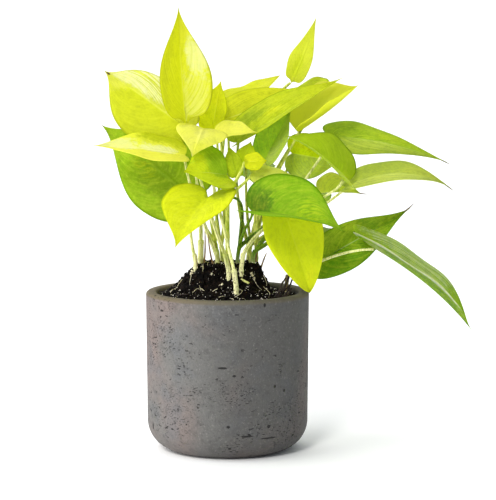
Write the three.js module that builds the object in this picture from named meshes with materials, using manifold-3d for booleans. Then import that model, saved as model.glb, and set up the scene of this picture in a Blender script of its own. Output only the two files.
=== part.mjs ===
// A young neon pothos: rooted cuttings in a mound of potting mix, in a round concrete pot.
// Millimetres, +Z up. The origin is the middle of the pot's flat base, and -Y is the front.
import * as THREE from "three";
import { mergeVertices } from "three/addons/utils/BufferGeometryUtils.js";
import Module from "manifold-3d";

const wasm = await Module();
wasm.setup();

// Driving dimensions
const potDiameter = 125;
const potHeight = 122;
const potTaper = 0.9; // the side leans in by this much at the foot
const potFootRadius = 23; // of the large round edge under the side
const potWall = 8.5;
const potFloor = 12;
const cavityFillet = 14;
const rimRound = 2.6;
const potSegments = 40;
const arcSteps = { foot: 6, rim: 2, fillet: 4 };

const fitGap = 0.3; // between pieces that touch
const soilEdgeHeight = 118; // where the mix meets the wall
const moundHeight = 24; // above that edge
const moundCentre = [3, 6];
const moundReach = { left: 24, right: 23, front: 13, back: 24 }; // of the level top, from its centre
const moundShoulder = 0.85; // where the heap starts to fall, in shares of that reach
const moundFoot = { left: 2.3, right: 1.35 }; // where it ends, in the same shares
const apronShare = 0.27; // of the heap's height, which is a low slope out to the wall
const apronStart = 20; // distance from the pot's axis where that slope starts to fall
const soilRings = 9;
const soilCrumb = 1.1; // how far the surface's points lie above or below the smooth height
const soilSeed = 11;
const rootDepth = 12; // how deep a stem stands in the mix
const holeRise = 6; // how far a stem's hole is cut above the mix
const straightRise = 5; // how far a stem rises upright out of the mix
const petioleBite = 1.2; // how deep a petiole's root is sunk in the top of its stem

const bladeThickness = 0.8;
const midribSteps = 60;
const droopPower = 1.3; // above 1, the bend of a midrib gathers towards the tip
const ribPower = 1.6; // above 1, the veins slant from the midrib towards the tip
const lobeShare = 0.22; // of the margin, from the sinus to the back of the lobe
const shoulderShare = 0.5; // of the margin, from the sinus to the widest place
const stemSides = 6;
const stemSteps = 7;
const petioleSides = 5;
const petioleSteps = 7;
const holeSides = 8;

// Small vector helpers on plain arrays
const add = (a, b) => a.map((v, i) => v + b[i]);
const sub = (a, b) => a.map((v, i) => v - b[i]);
const scale = (a, k) => a.map((v) => v * k);
const dot = (a, b) => a[0] * b[0] + a[1] * b[1] + a[2] * b[2];
const cross = (a, b) => [
  a[1] * b[2] - a[2] * b[1],
  a[2] * b[0] - a[0] * b[2],
  a[0] * b[1] - a[1] * b[0],
];
const unit = (a) => scale(a, 1 / Math.hypot(...a));
const rad = THREE.MathUtils.degToRad;

function smoothStep(from, to, value) {
  return THREE.MathUtils.smoothstep(value, from, to);
}

// Seeded random numbers from 0 to 1
function randomSource(seed) {
  let state = seed;
  return () => {
    state = (state * 1664525 + 1013904223) % 4294967296;
    return state / 4294967296;
  };
}

// Solids from plain vertices and triangles, joined and cut

function geometryOf(points, triangles) {
  const position = new Float32Array(triangles.length * 9);
  triangles.forEach((corners, i) =>
    corners.forEach((corner, j) => position.set(points[corner], i * 9 + j * 3)),
  );
  const loose = new THREE.BufferGeometry();
  loose.setAttribute("position", new THREE.BufferAttribute(position, 3));
  return loose;
}

function solidOf(geometry) {
  const bare = geometry.index ? geometry.toNonIndexed() : geometry.clone();
  bare.deleteAttribute("normal");
  bare.deleteAttribute("uv");
  const merged = mergeVertices(bare, 1e-3);
  const triVerts = [];
  const index = merged.index.array;
  for (let i = 0; i < index.length; i += 3) {
    const [a, b, c] = [index[i], index[i + 1], index[i + 2]];
    if (a !== b && b !== c && c !== a) triVerts.push(a, b, c);
  }
  return new wasm.Manifold(
    new wasm.Mesh({
      numProp: 3,
      vertProperties: merged.attributes.position.array,
      triVerts: new Uint32Array(triVerts),
    }),
  );
}

function geometryFrom(solid) {
  const made = solid.getMesh();
  const geometry = new THREE.BufferGeometry();
  geometry.setAttribute(
    "position",
    new THREE.BufferAttribute(new Float32Array(made.vertProperties), 3),
  );
  geometry.setIndex(new THREE.BufferAttribute(new Uint32Array(made.triVerts), 1));
  geometry.computeVertexNormals();
  return geometry;
}

function material(color, roughness) {
  return new THREE.MeshStandardMaterial({ color, roughness, metalness: 0 });
}

const plant = new THREE.Group();

function place(name, geometry, finish) {
  const mesh = new THREE.Mesh(geometry, finish);
  mesh.name = name;
  plant.add(mesh);
}

// Pot: a turned shell with a large round foot and a rounded rim

function arc(centre, radius, from, to, steps) {
  return Array.from({ length: steps + 1 }, (_, i) => {
    const angle = rad(from + ((to - from) * i) / steps);
    return [
      centre[0] + radius * Math.cos(angle),
      centre[1] + radius * Math.sin(angle),
    ];
  });
}

const outerTop = potDiameter / 2;
const outerFoot = outerTop - potTaper;
const innerTop = outerTop - potWall;
const innerFoot = outerFoot - potWall;
const filletCentre = [innerFoot - cavityFillet, potFloor + cavityFillet];

// Radius of the cavity's wall at a height
function cavityRadius(z) {
  const straight = THREE.MathUtils.lerp(innerFoot, innerTop, z / potHeight);
  const rise = z - potFloor;
  if (rise >= cavityFillet) return straight;
  const below = cavityFillet - rise;
  return straight - cavityFillet + Math.sqrt(cavityFillet ** 2 - below ** 2);
}

function potProfile() {
  return [
    [0, 0],
    ...arc([outerFoot - potFootRadius, potFootRadius], potFootRadius, -90, 0, arcSteps.foot),
    ...arc([outerTop - rimRound, potHeight - rimRound], rimRound, 0, 90, arcSteps.rim),
    ...arc([innerTop + rimRound, potHeight - rimRound], rimRound, 90, 180, arcSteps.rim),
    ...arc(filletCentre, cavityFillet, 0, -90, arcSteps.fillet),
    [0, potFloor],
  ];
}

function makePot() {
  const profile = potProfile().map(([r, z]) => new THREE.Vector2(r, z));
  const turned = new THREE.LatheGeometry(profile, potSegments);
  turned.rotateX(Math.PI / 2);
  place("pot", geometryFrom(solidOf(turned)), material(0x7d7876, 0.9));
}

// Soil: one lump that fills the cavity, heaped round the cuttings

// Height of the mix: a low slope to the wall and a crumbling heap on it
function soilHeight(x, y) {
  const [cx, cy] = moundCentre;
  const reachX = x < cx ? moundReach.left : moundReach.right;
  const reachY = y < cy ? moundReach.front : moundReach.back;
  const away = Math.hypot((x - cx) / reachX, (y - cy) / reachY);
  const rightness = smoothStep(0.5, 0.95, (x - cx) / Math.hypot(x - cx, y - cy, 1));
  const footOfHeap = THREE.MathUtils.lerp(moundFoot.left, moundFoot.right, rightness);
  const apron = 1 - smoothStep(apronStart, innerTop, Math.hypot(x, y));
  const heap = 1 - smoothStep(moundShoulder, footOfHeap, away);
  return soilEdgeHeight + moundHeight * THREE.MathUtils.lerp(heap, apron, apronShare);
}

function makeSoilBlock() {
  const around = potSegments;
  const random = randomSource(soilSeed);
  const rim = cavityRadius(soilEdgeHeight) - fitGap;
  const wall = arc(filletCentre, cavityFillet - fitGap, 0, -90, arcSteps.fillet);
  const points = [[0, 0, soilHeight(0, 0)]];
  const triangles = [];
  const ring = (radius, height) => {
    for (let j = 0; j < around; j++) {
      const angle = (2 * Math.PI * j) / around;
      const [x, y] = [radius * Math.cos(angle), radius * Math.sin(angle)];
      points.push([x, y, height(x, y)]);
    }
  };
  for (let i = 1; i <= soilRings; i++) {
    const crumb = i < soilRings ? soilCrumb : 0;
    ring((rim * i) / soilRings, (x, y) => soilHeight(x, y) + crumb * (2 * random() - 1));
  }
  wall.forEach(([radius, z]) => ring(radius, () => z));
  points.push([0, 0, potFloor + fitGap]);
  const rows = soilRings + wall.length;
  const at = (i, j) => 1 + (i - 1) * around + (j % around);
  for (let j = 0; j < around; j++) {
    triangles.push([0, at(1, j), at(1, j + 1)]);
    triangles.push([points.length - 1, at(rows, j + 1), at(rows, j)]);
    for (let i = 1; i < rows; i++) {
      const [a, b] = [at(i, j), at(i, j + 1)];
      const [c, d] = [at(i + 1, j), at(i + 1, j + 1)];
      if ((i + j) % 2) triangles.push([a, c, b], [b, c, d]);
      else triangles.push([a, c, d], [a, d, b]);
    }
  }
  return solidOf(geometryOf(points, triangles));
}

// Tubes: a ring of points carried along a curve, closed at both ends

function tube(curve, radiusAt, sides, steps) {
  const points = [];
  const triangles = [];
  const frames = curve.computeFrenetFrames(steps, false);
  for (let i = 0; i <= steps; i++) {
    const centre = curve.getPointAt(i / steps);
    const radius = radiusAt(i / steps);
    for (let j = 0; j < sides; j++) {
      const angle = (2 * Math.PI * j) / sides;
      const point = centre
        .clone()
        .addScaledVector(frames.normals[i], radius * Math.cos(angle))
        .addScaledVector(frames.binormals[i], radius * Math.sin(angle));
      points.push(point.toArray());
    }
  }
  const first = points.push(curve.getPointAt(0).toArray()) - 1;
  const last = points.push(curve.getPointAt(1).toArray()) - 1;
  for (let j = 0; j < sides; j++) {
    const next = (j + 1) % sides;
    triangles.push([first, next, j]);
    triangles.push([last, steps * sides + j, steps * sides + next]);
    for (let i = 0; i < steps; i++) {
      const a = i * sides + j;
      const b = i * sides + next;
      triangles.push([a, b, b + sides], [a, b + sides, a + sides]);
    }
  }
  return solidOf(geometryOf(points, triangles));
}

// Leaf blades

const leafDefaults = {
  width: 48, // across both halves, laid flat
  face: [0, -1, 0.3], // the way the upper face looks, before it is squared to the midrib
  droop: 15, // degrees that the midrib bends down from base to tip
  fold: [10, 10], // degrees that the left and right halves rise from the midrib
  curl: [10, 10], // degrees that each half then bends down again
  halves: [1, 1], // how wide the left and right halves are, as shares of half the width
  lobe: 0.08, // how far the lobes reach back, as a share of the length
  widest: 0.35, // where the blade is widest, as a share of the length
  full: 0.42, // how late the margin turns in to the tip
  blunt: 0, // how round the tip is, from 0 to 1
  sweep: 0, // degrees that the midrib bends sideways
  wave: [0.8, 2, 0], // height, count and phase of the margin's waves
  rows: 12,
  columns: 2,
};

function bezier(a, b, c, d, t) {
  const u = 1 - t;
  return a.map(
    (_, i) =>
      u ** 3 * a[i] + 3 * u * u * t * b[i] + 3 * u * t * t * c[i] + t ** 3 * d[i],
  );
}

// Half outline from the sinus round the lobe to the tip, in shares of the length
function halfOutline(leaf, w, t) {
  const { lobe, widest, full, blunt } = leaf;
  const back = [-lobe, 0.45 * w];
  const side = [widest, w];
  if (t <= lobeShare)
    return bezier([0, 0], [-0.6 * lobe, 0.08 * w], [-lobe, 0.22 * w], back, t / lobeShare);
  if (t <= shoulderShare) {
    const part = (t - lobeShare) / (shoulderShare - lobeShare);
    return bezier(back, [-lobe, 0.8 * w], [(widest - lobe) / 2, w], side, part);
  }
  const beyond = 1 - widest;
  return bezier(
    side,
    [widest + full * beyond, w],
    [1 - 0.3 * beyond * (1 - blunt), (0.08 + blunt) * w],
    [1, 0],
    (t - shoulderShare) / (1 - shoulderShare),
  );
}

// The midrib's own frame: a bent line of unit length in its plane, turned and sized so
// that it runs from base to tip with the upper face towards face.
function midribOf(leaf) {
  const count = midribSteps;
  const line = [[0, 0, 0]];
  const heading = (u) => {
    const down = rad(leaf.droop) * u ** droopPower;
    const aside = rad(leaf.sweep) * u;
    return [
      Math.cos(down) * Math.cos(aside),
      Math.cos(down) * Math.sin(aside),
      -Math.sin(down),
    ];
  };
  for (let i = 0; i < count; i++)
    line.push(add(line[i], scale(heading((i + 0.5) / count), 1 / count)));
  const end = line[count];
  const length = Math.hypot(...sub(leaf.tip, leaf.base)) / Math.hypot(...end);
  const ahead = unit(end);
  const normal = unit(sub([0, 0, 1], scale(ahead, ahead[2])));
  const side = cross(normal, ahead);
  const worldAhead = unit(sub(leaf.tip, leaf.base));
  const worldNormal = unit(sub(leaf.face, scale(worldAhead, dot(leaf.face, worldAhead))));
  const worldSide = cross(worldNormal, worldAhead);
  const turn = (p) => {
    const [a, n, s] = [dot(p, ahead), dot(p, normal), dot(p, side)];
    return add(add(scale(worldAhead, a), scale(worldNormal, n)), scale(worldSide, s));
  };
  const along = (u) => {
    const place = u * count;
    const i = Math.min(Math.floor(place), count - 1);
    const part = place - i;
    return scale(add(scale(line[i], 1 - part), scale(line[i + 1], part)), length);
  };
  return { length, along, heading, turn };
}

// A point of the blade's middle surface: t runs from the sinus round to the tip, and side
// is 0 on the midrib and 1 or -1 on the left or right margin.
function bladePoint(leaf, midrib, t, side) {
  const { length } = midrib;
  const halfWidth = leaf.width / 2;
  const edge = halfOutline(leaf, halfWidth / length, t);
  const rib = t ** ribPower;
  const share = Math.abs(side);
  const u = rib + share * (edge[0] - rib);
  const half = side > 0 ? 0 : 1;
  const out = share * edge[1] * length * leaf.halves[half];
  const inside = THREE.MathUtils.clamp(u, 0, 1);
  const ahead = midrib.heading(inside);
  const down = rad(leaf.droop) * inside ** droopPower;
  const aside = rad(leaf.sweep) * inside;
  const normal = [
    Math.sin(down) * Math.cos(aside),
    Math.sin(down) * Math.sin(aside),
    Math.cos(down),
  ];
  const left = cross(normal, ahead);
  const centre = add(midrib.along(inside), scale(ahead, Math.min(u, 0) * length));
  const fold = rad(leaf.fold[half]);
  const bend = rad(leaf.curl[half]) / halfWidth || 1e-6;
  const across = (Math.sin(fold) - Math.sin(fold - bend * out)) / bend;
  const [height, count, phase] = leaf.wave;
  const ripple =
    height *
    (out / halfWidth) ** 2 *
    Math.sin(2 * Math.PI * count * u + rad(phase) + 1.7 * half);
  const up = (Math.cos(fold - bend * out) - Math.cos(fold)) / bend + ripple;
  const hand = half === 0 ? 1 : -1;
  const local = add(centre, add(scale(left, hand * across), scale(normal, up)));
  return add(midrib.turn(local), leaf.base);
}

function makeBlade(leaf) {
  const midrib = midribOf(leaf);
  const { rows, columns } = leaf;
  const wide = 2 * columns + 1;
  const middle = [];
  for (let i = 0; i <= rows; i++)
    for (let j = -columns; j <= columns; j++)
      middle.push(bladePoint(leaf, midrib, i / rows, j / columns));
  const faces = [];
  for (let i = 0; i < rows; i++)
    for (let j = 0; j < wide - 1; j++) {
      const a = i * wide + j;
      const [b, c, d] = [a + 1, a + wide, a + wide + 1];
      if (j < columns) faces.push([a, b, c], [b, d, c]);
      else faces.push([a, b, d], [a, d, c]);
    }
  const normals = middle.map(() => [0, 0, 0]);
  const keys = middle.map((p) => p.map((v) => v.toFixed(3)).join());
  const shared = new Map();
  keys.forEach((key, i) => {
    if (!shared.has(key)) shared.set(key, normals[i]);
    normals[i] = shared.get(key);
  });
  faces.forEach(([a, b, c]) => {
    const n = cross(sub(middle[b], middle[a]), sub(middle[c], middle[a]));
    [a, b, c].forEach((corner) => n.forEach((v, k) => (normals[corner][k] += v / 3)));
  });
  const unique = new Set(normals);
  unique.forEach((n) => unit(n).forEach((v, k) => (n[k] = v)));
  const half = bladeThickness / 2;
  const upper = middle.map((p, i) => add(p, scale(normals[i], half)));
  const lower = middle.map((p, i) => add(p, scale(normals[i], -half)));
  const below = upper.length;
  const triangles = [];
  faces.forEach(([a, b, c]) => triangles.push([a, b, c], [below + a, below + c, below + b]));
  for (let i = 0; i < rows; i++) {
    const [p, q] = [i * wide, (i + 1) * wide];
    const [r, s] = [p + wide - 1, q + wide - 1];
    triangles.push([p, q, below + q], [p, below + q, below + p]);
    triangles.push([s, r, below + r], [s, below + r, below + s]);
  }
  return solidOf(geometryOf([...upper, ...lower], triangles));
}

// Every leaf, with the place of its base and tip, and the cutting that its petiole
// grows from. Each petiole leaves its cutting along leave and comes to the blade along
// arrive, from below the sinus.
const leaves = {
  upright: {
    base: [-31, -11, 248.5],
    tip: [-37, 3, 338.5],
    face: [-0.15, -1, 0.2],
    width: 47,
    droop: 12,
    fold: [58, 6],
    curl: [8, 8],
    lobe: -0.07,
    widest: 0.36,
    sweep: -4,
    full: 0.36,
    color: 0xcddc14,
  },
  fan: {
    base: [-31, 9, 246],
    tip: [-95, 19, 289.5],
    face: [0.1, -1, 0.35],
    width: 60,
    droop: 14,
    fold: [0, 52],
    curl: [8, 10],
    lobe: 0.06,
    widest: 0.42,
    full: 0.62,
    halves: [1.04, 0.78],
    color: 0xd2e61e,
  },
  pale_wing: {
    base: [-32, -18, 227],
    tip: [-101, -28, 235],
    face: [0, -0.55, 0.83],
    width: 44,
    fold: [24, 4],
    sweep: -4,
    lobe: 0.03,
    color: 0xe6f03c,
  },
  broad_left: {
    base: [-32, 8, 197],
    tip: [-97, 16, 248],
    face: [0.1, -1, 0.15],
    width: 66,
    droop: 10,
    fold: [3, 12],
    curl: [10, 14],
    lobe: 0.14,
    widest: 0.24,
    sweep: 4,
    color: 0x8cb900,
  },
  heart: {
    base: [-15, -33, 196],
    tip: [-38, -74, 163],
    face: [-0.3, -0.9, 0.4],
    width: 59,
    droop: 22,
    fold: [30, 14],
    curl: [12, 12],
    lobe: 0.19,
    widest: 0.22,
    color: 0xe1f014,
  },
  round_left: {
    base: [0, -20, 211.5],
    tip: [-33, -36, 216],
    face: [0.1, -0.85, 0.5],
    width: 52,
    droop: 20,
    fold: [46, 4],
    curl: [14, 12],
    lobe: 0.01,
    widest: 0.44,
    full: 0.5,
    color: 0xafd20a,
  },
  cream: {
    base: [-18, -18, 247],
    tip: [-26, -38, 227],
    face: [-0.2, -1, 0],
    width: 40,
    droop: 18,
    fold: [6, 6],
    lobe: 0.06,
    widest: 0.12,
    full: 0.3,
    rows: 9,
    color: 0xf5f578,
  },
  butter: {
    base: [-8, -5, 242],
    tip: [23, -12, 244],
    face: [0, -0.45, 0.9],
    width: 30,
    droop: 0,
    fold: [20, 25],
    widest: 0.32,
    rows: 9,
    color: 0xfafa5a,
  },
  blade_up: {
    base: [48.8, 36, 279],
    tip: [69, 46, 331],
    face: [0.6, -0.8, 0.1],
    width: 23,
    droop: 8,
    fold: [14, 14],
    curl: [6, 6],
    lobe: -0.04,
    widest: 0.26,
    sweep: 4,
    full: 0.3,
    halves: [1.12, 0.86],
    color: 0xc8dc1e,
  },
  top_band: {
    base: [-4, 54, 266],
    tip: [41, 58, 284],
    face: [0, -0.25, 0.97],
    width: 32,
    droop: -28,
    widest: 0.4,
    blunt: 0.3,
    full: 0.5,
    color: 0xc8dc1e,
  },
  veil: {
    base: [-4, 25, 251],
    tip: [65, 30, 276],
    face: [0.2, 0.9, -0.3],
    width: 36,
    droop: 10,
    curl: [8, 8],
    lobe: 0.1,
    widest: 0.3,
    color: 0xbecd28,
  },
  sprout_top: {
    base: [-12, 14, 244],
    tip: [-5, 22, 282],
    face: [0.1, -1, 0.1],
    width: 27,
    droop: 8,
    curl: [8, 8],
    lobe: 0.06,
    widest: 0.4,
    rows: 9,
    halves: [1, 0.62],
    color: 0xbed214,
  },
  long_lime: {
    base: [8, 6, 235],
    tip: [89, 8, 285],
    face: [-0.3, -0.65, 0.7],
    width: 44,
    droop: 2,
    fold: [16, 42],
    curl: [8, 8],
    lobe: 0.06,
    full: 0.34,
    halves: [1, 0.85],
    color: 0xbedc0a,
  },
  behind_lime: {
    base: [70, 46, 268],
    tip: [45, 70, 268],
    face: [0, -0.7, 0.7],
    width: 42,
    droop: 20,
    lobe: 0.1,
    widest: 0.3,
    rows: 9,
    color: 0x9bbe1e,
  },
  folded_top: {
    base: [54, 6, 243],
    tip: [100, 8, 279],
    face: [-0.57, -0.33, 0.75],
    width: 54,
    droop: -14,
    fold: [37, 37],
    curl: [6, 6],
    lobe: 0.02,
    widest: 0.52,
    full: 0.6,
    color: 0xcdd728,
  },
  saddle: {
    base: [88, -16, 208],
    tip: [43, -20, 242],
    face: [0.45, -0.75, 0.5],
    width: 54,
    droop: 46,
    fold: [62, 4],
    curl: [20, 20],
    lobe: 0.1,
    widest: 0.32,
    halves: [1, 1.1],
    color: 0x9bc30f,
  },
  shade_fold: {
    base: [29, 14, 221],
    tip: [49, 16, 261],
    face: [0.3, -0.9, 0.2],
    width: 34,
    droop: 4,
    fold: [15, 78],
    curl: [8, 8],
    lobe: 0.06,
    widest: 0.4,
    color: 0x50963c,
  },
  butter_small: {
    base: [13, -18, 222],
    tip: [30, -17, 223],
    face: [0.1, -1, 0.2],
    width: 14,
    droop: 10,
    fold: [8, 8],
    curl: [8, 8],
    lobe: 0,
    widest: 0.55,
    rows: 7,
    wave: [0.4, 2, 0],
    full: 0.3,
    color: 0xfafa14,
  },
  olive_low: {
    base: [19, -9, 213],
    tip: [51, -5, 211],
    face: [0.1, 0.55, -0.8],
    width: 24,
    droop: -10,
    fold: [12, 12],
    curl: [8, 8],
    lobe: 0.06,
    rows: 9,
    color: 0xafbe32,
  },
  centre_right: {
    base: [12, -3, 219],
    tip: [18, -3, 237],
    face: [0.2, -1, 0.2],
    width: 16,
    droop: 6,
    fold: [15, 15],
    curl: [8, 8],
    lobe: 0.05,
    widest: 0.4,
    rows: 8,
    color: 0xc8dc1e,
  },
  centre_left: {
    base: [7, -10, 211],
    tip: [1, -8, 234],
    face: [-0.1, -1, 0.2],
    width: 14,
    droop: 6,
    fold: [15, 15],
    curl: [8, 8],
    lobe: 0.05,
    widest: 0.4,
    rows: 8,
    color: 0xafd214,
  },
  reach_upper: {
    base: [83, 24, 238],
    tip: [170, 26, 218],
    face: [-0.1, -0.5, 0.86],
    width: 42,
    droop: 20,
    fold: [9, 8],
    lobe: 0.12,
    widest: 0.14,
    full: 0.24,
    color: 0x96be28,
  },
  reach_lower: {
    base: [91, -2, 202],
    tip: [171, 2, 200],
    face: [-0.05, -0.4, 0.9],
    width: 44,
    droop: 62,
    fold: [6, 14],
    curl: [8, 8],
    lobe: 0.06,
    widest: 0.4,
    halves: [1, 0.7],
    color: 0xa5be3c,
  },
  olive_tip: {
    base: [71, 26, 195],
    tip: [104, 24, 194],
    face: [0.1, 0.5, -0.86],
    width: 32,
    droop: -20,
    fold: [-30, -25],
    widest: 0.3,
    rows: 9,
    color: 0x96af3c,
  },
  olive_round: {
    base: [50, 30, 225],
    tip: [90, 34, 218],
    face: [0.1, 0.9, -0.4],
    width: 38,
    droop: 10,
    lobe: 0.12,
    widest: 0.25,
    rows: 10,
    color: 0x8caa3c,
  },
  big_front: {
    base: [19, -36, 186],
    tip: [88, -48, 172],
    face: [0.05, -0.6, 0.8],
    width: 72,
    droop: 30,
    fold: [24, 46],
    curl: [14, 14],
    lobe: 0.1,
    widest: 0.32,
    full: 0.46,
    columns: 3,
    color: 0x8cc300,
  },
  hanging: {
    base: [42, -20, 187.2],
    tip: [62.5, -18, 122.5],
    face: [0.1, -0.95, 0.3],
    width: 54,
    droop: 18,
    fold: [16, 42],
    curl: [12, 12],
    lobe: 0.1,
    widest: 0.26,
    full: 0.25,
    halves: [0.92, 1.05],
    blunt: 0.4,
    color: 0xb9d219,
  },
  dark_low: {
    base: [69, 16, 142],
    tip: [142, 28, 183],
    face: [0.2, -0.9, 0.4],
    width: 46,
    droop: -14,
    fold: [54, 34],
    curl: [8, 8],
    lobe: 0.12,
    widest: 0.24,
    color: 0x5a8c00,
  },
  weeping: {
    base: [112, -6, 155],
    tip: [188, 4, 90],
    face: [0.62, -0.27, 0.73],
    width: 46,
    droop: 22,
    fold: [22, 36],
    curl: [6, 6],
    lobe: 0.22,
    widest: 0.5,
    full: 0.68,
    color: 0x96b950,
  },
  back_left: {
    base: [-24, 32, 222],
    tip: [-68, 72, 202],
    face: [-0.3, 0.3, 0.9],
    width: 50,
    droop: 25,
    color: 0xafc81e,
  },
  back_top: {
    base: [-2, 49, 245],
    tip: [-17, 96, 240],
    face: [-0.1, 0.4, 0.9],
    width: 44,
    droop: 25,
    color: 0xc8dc1e,
  },
  back_right: {
    base: [46, 36, 194],
    tip: [76, 84, 174],
    face: [0.2, 0.4, 0.9],
    width: 50,
    droop: 25,
    color: 0x96be14,
  },
  back_low_right: {
    base: [52, 34, 168],
    tip: [84, 70, 150],
    face: [0.3, 0.4, 0.9],
    width: 44,
    droop: 20,
    color: 0x8cb414,
  },
  back_low_left: {
    base: [-30, 26, 190],
    tip: [-58, 60, 182],
    face: [-0.3, 0.4, 0.9],
    width: 36,
    droop: 25,
    color: 0x96be14,
  },
  back_centre: {
    base: [14, 38, 214],
    tip: [20, 90, 196],
    face: [0, 0.4, 0.9],
    width: 44,
    droop: 30,
    color: 0xb4d21e,
  },
};

for (const name in leaves) leaves[name] = { ...leafDefaults, ...leaves[name] };

// Every cutting: where its stem stands in the mix, how thick it is, how far it rises, and
// the petioles that grow from its top. A petiole has its leaf's name, the handle along
// which it leaves the stem and the handle along which it comes to the blade.
const cuttings = {
  left: {
    foot: [-24.6, 0],
    radius: 1.6,
    top: [-25.5, 1, 150],
    petioles: { broad_left: { leave: [-6, 2, 22], arrive: [-6, -4, 8] } },
  },
  left_thick: {
    foot: [-20.8, 8],
    radius: 2.2,
    top: [-20.5, 8, 160],
    petioles: { fan: { leave: [0, -6, 40], arrive: [-4, 1, 14] } },
  },
  wing: {
    foot: [-8, 2],
    radius: 1.6,
    top: [-10, 1, 154],
    petioles: { pale_wing: { leave: [-12, -2, 30], arrive: [-1, -4, 18] } },
  },
  upright: {
    foot: [1, -14],
    radius: 1.8,
    top: [-2, -14, 152],
    petioles: { upright: { leave: [-16, 0, 40], arrive: [-6, 2, 18] } },
  },
  back: {
    foot: [-4.4, 10],
    radius: 1.6,
    top: [-5, 11, 156],
    petioles: {
      sprout_top: { leave: [-6, 4, 30], arrive: [0, -4, 20] },
      top_band: { leave: [8, 8, 40], arrive: [-6, 14, 16] },
      veil: { leave: [6, 8, 36], arrive: [4, -2, 20] },
    },
  },
  front: {
    foot: [6.8, -30],
    radius: 1.9,
    top: [5, -30, 142],
    petioles: { cream: { leave: [-10, 26, 40], arrive: [2, -14, 10] } },
  },
  centre: {
    foot: [0, -2],
    radius: 1.7,
    top: [0, -8, 196],
    petioles: {
      round_left: { leave: [1, -3, 6], arrive: [1, -6, 5] },
      centre_left: { leave: [2, -1, 5], arrive: [0, 0, 6] },
      centre_right: { leave: [3, 0, 8], arrive: [1, 0, 8] },
      butter: { leave: [-6, 4, 20], arrive: [0, 0, 12] },
      butter_small: { leave: [6, -4, 12], arrive: [3, -2, 8] },
      olive_low: { leave: [8, 2, 6], arrive: [4, -2, 6] },
    },
  },
  pale: {
    foot: [10.6, -12],
    radius: 1.7,
    top: [12, -12, 152],
    petioles: { hanging: { leave: [12, -2, 24], arrive: [4, -6, 14] } },
  },
  dark: {
    foot: [7.6, 0],
    radius: 1.5,
    top: [9, -1, 156],
    petioles: {
      big_front: { leave: [4, -8, 20], arrive: [2, -8, 10] },
      heart: { leave: [6, -16, 50], arrive: [-24, 0, 0] },
      saddle: { leave: [20, -4, 24], arrive: [8, 0, 16] },
    },
  },
  tall: {
    foot: [22, 14],
    radius: 1.6,
    top: [22, 14, 160],
    petioles: {
      folded_top: { leave: [6, 0, 40], arrive: [12, -2, 24] },
      shade_fold: { leave: [2, 2, 30], arrive: [2, -4, 16] },
      blade_up: { leave: [-2, 14, 50], arrive: [28, -4, 20] },
    },
  },
  low_right: {
    foot: [19.4, 2],
    radius: 1.6,
    top: [21, 2, 153],
    petioles: {
      reach_lower: { leave: [30, 0, 20], arrive: [14, 0, 12] },
      reach_upper: { leave: [30, 6, 40], arrive: [12, 0, 14] },
    },
  },
  lime: {
    foot: [17.9, 7],
    radius: 1.5,
    top: [16, 7, 156],
    petioles: { long_lime: { leave: [-12, -4, 40], arrive: [2, 0, 16] } },
  },
  edge: {
    foot: [44.7, 0],
    radius: 1.6,
    top: [46, 0, 134],
    petioles: {
      weeping: { leave: [20, 0, 10], arrive: [24, 0, 0] },
      dark_low: { leave: [8, 2, 6], arrive: [8, 0, 4] },
    },
  },
  far_left: {
    foot: [-8, 22],
    radius: 1.7,
    top: [-10, 24, 156],
    petioles: {
      back_left: { leave: [-4, 4, 30], arrive: [-4, 4, 16] },
      back_low_left: { leave: [-8, 2, 14], arrive: [-6, 4, 10] },
      back_top: { leave: [2, 8, 40], arrive: [2, 6, 20] },
    },
  },
  far_right: {
    foot: [16, 24],
    radius: 1.7,
    top: [18, 26, 156],
    petioles: {
      back_right: { leave: [8, 4, 14], arrive: [4, 4, 10] },
      back_low_right: { leave: [16, 2, 4], arrive: [8, 4, 2] },
      back_centre: { leave: [-4, 6, 24], arrive: [0, 2, 16] },
      olive_round: { leave: [10, -4, 30], arrive: [4, 0, 20] },
      olive_tip: { leave: [24, -6, 14], arrive: [8, 0, 10] },
      behind_lime: { leave: [10, 8, 60], arrive: [10, 4, 30] },
    },
  },
};

const petioleRadius = { foot: 1.3, blade: 0.9 };

// Where a petiole ends: under the blade's base, clear of its lower face
function petioleEnd(leaf, arrive) {
  const midrib = midribOf(leaf);
  const normal = midrib.turn([0, 0, 1]);
  const along = unit(arrive);
  const slant = Math.min(Math.abs(dot(along, normal)), 1);
  const clear = bladeThickness / 2 + fitGap + petioleRadius.blade * Math.sqrt(1 - slant ** 2);
  return sub(leaf.base, scale(normal, clear * Math.sign(dot(along, normal) || 1)));
}

function stemCurve(cutting) {
  const [x, y] = cutting.foot;
  const ground = soilHeight(x, y);
  const top = cutting.top;
  const collar = [x, y, ground + straightRise];
  const points = [
    [x, y, ground - rootDepth + fitGap],
    [x, y, ground - rootDepth / 2],
    [x, y, ground + straightRise / 2],
    collar,
    add(scale(collar, 0.45), scale(top, 0.55)),
    top,
  ];
  return new THREE.CatmullRomCurve3(
    points.map((p) => new THREE.Vector3(...p)),
    false,
    "centripetal",
  );
}

function makeCutting(cutting) {
  const { radius, top } = cutting;
  let solid = tube(stemCurve(cutting), () => radius, stemSides, stemSteps);
  const heading = unit(sub(top, [...cutting.foot, soilHeight(...cutting.foot)]));
  const root = sub(top, scale(heading, petioleBite));
  for (const [name, petiole] of Object.entries(cutting.petioles)) {
    const end = petioleEnd(leaves[name], petiole.arrive);
    const curve = new THREE.CubicBezierCurve3(
      new THREE.Vector3(...root),
      new THREE.Vector3(...add(root, petiole.leave)),
      new THREE.Vector3(...sub(end, petiole.arrive)),
      new THREE.Vector3(...end),
    );
    const taper = (t) => THREE.MathUtils.lerp(petioleRadius.foot, petioleRadius.blade, t);
    solid = solid.add(tube(curve, taper, petioleSides, petioleSteps));
  }
  return solid;
}

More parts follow.
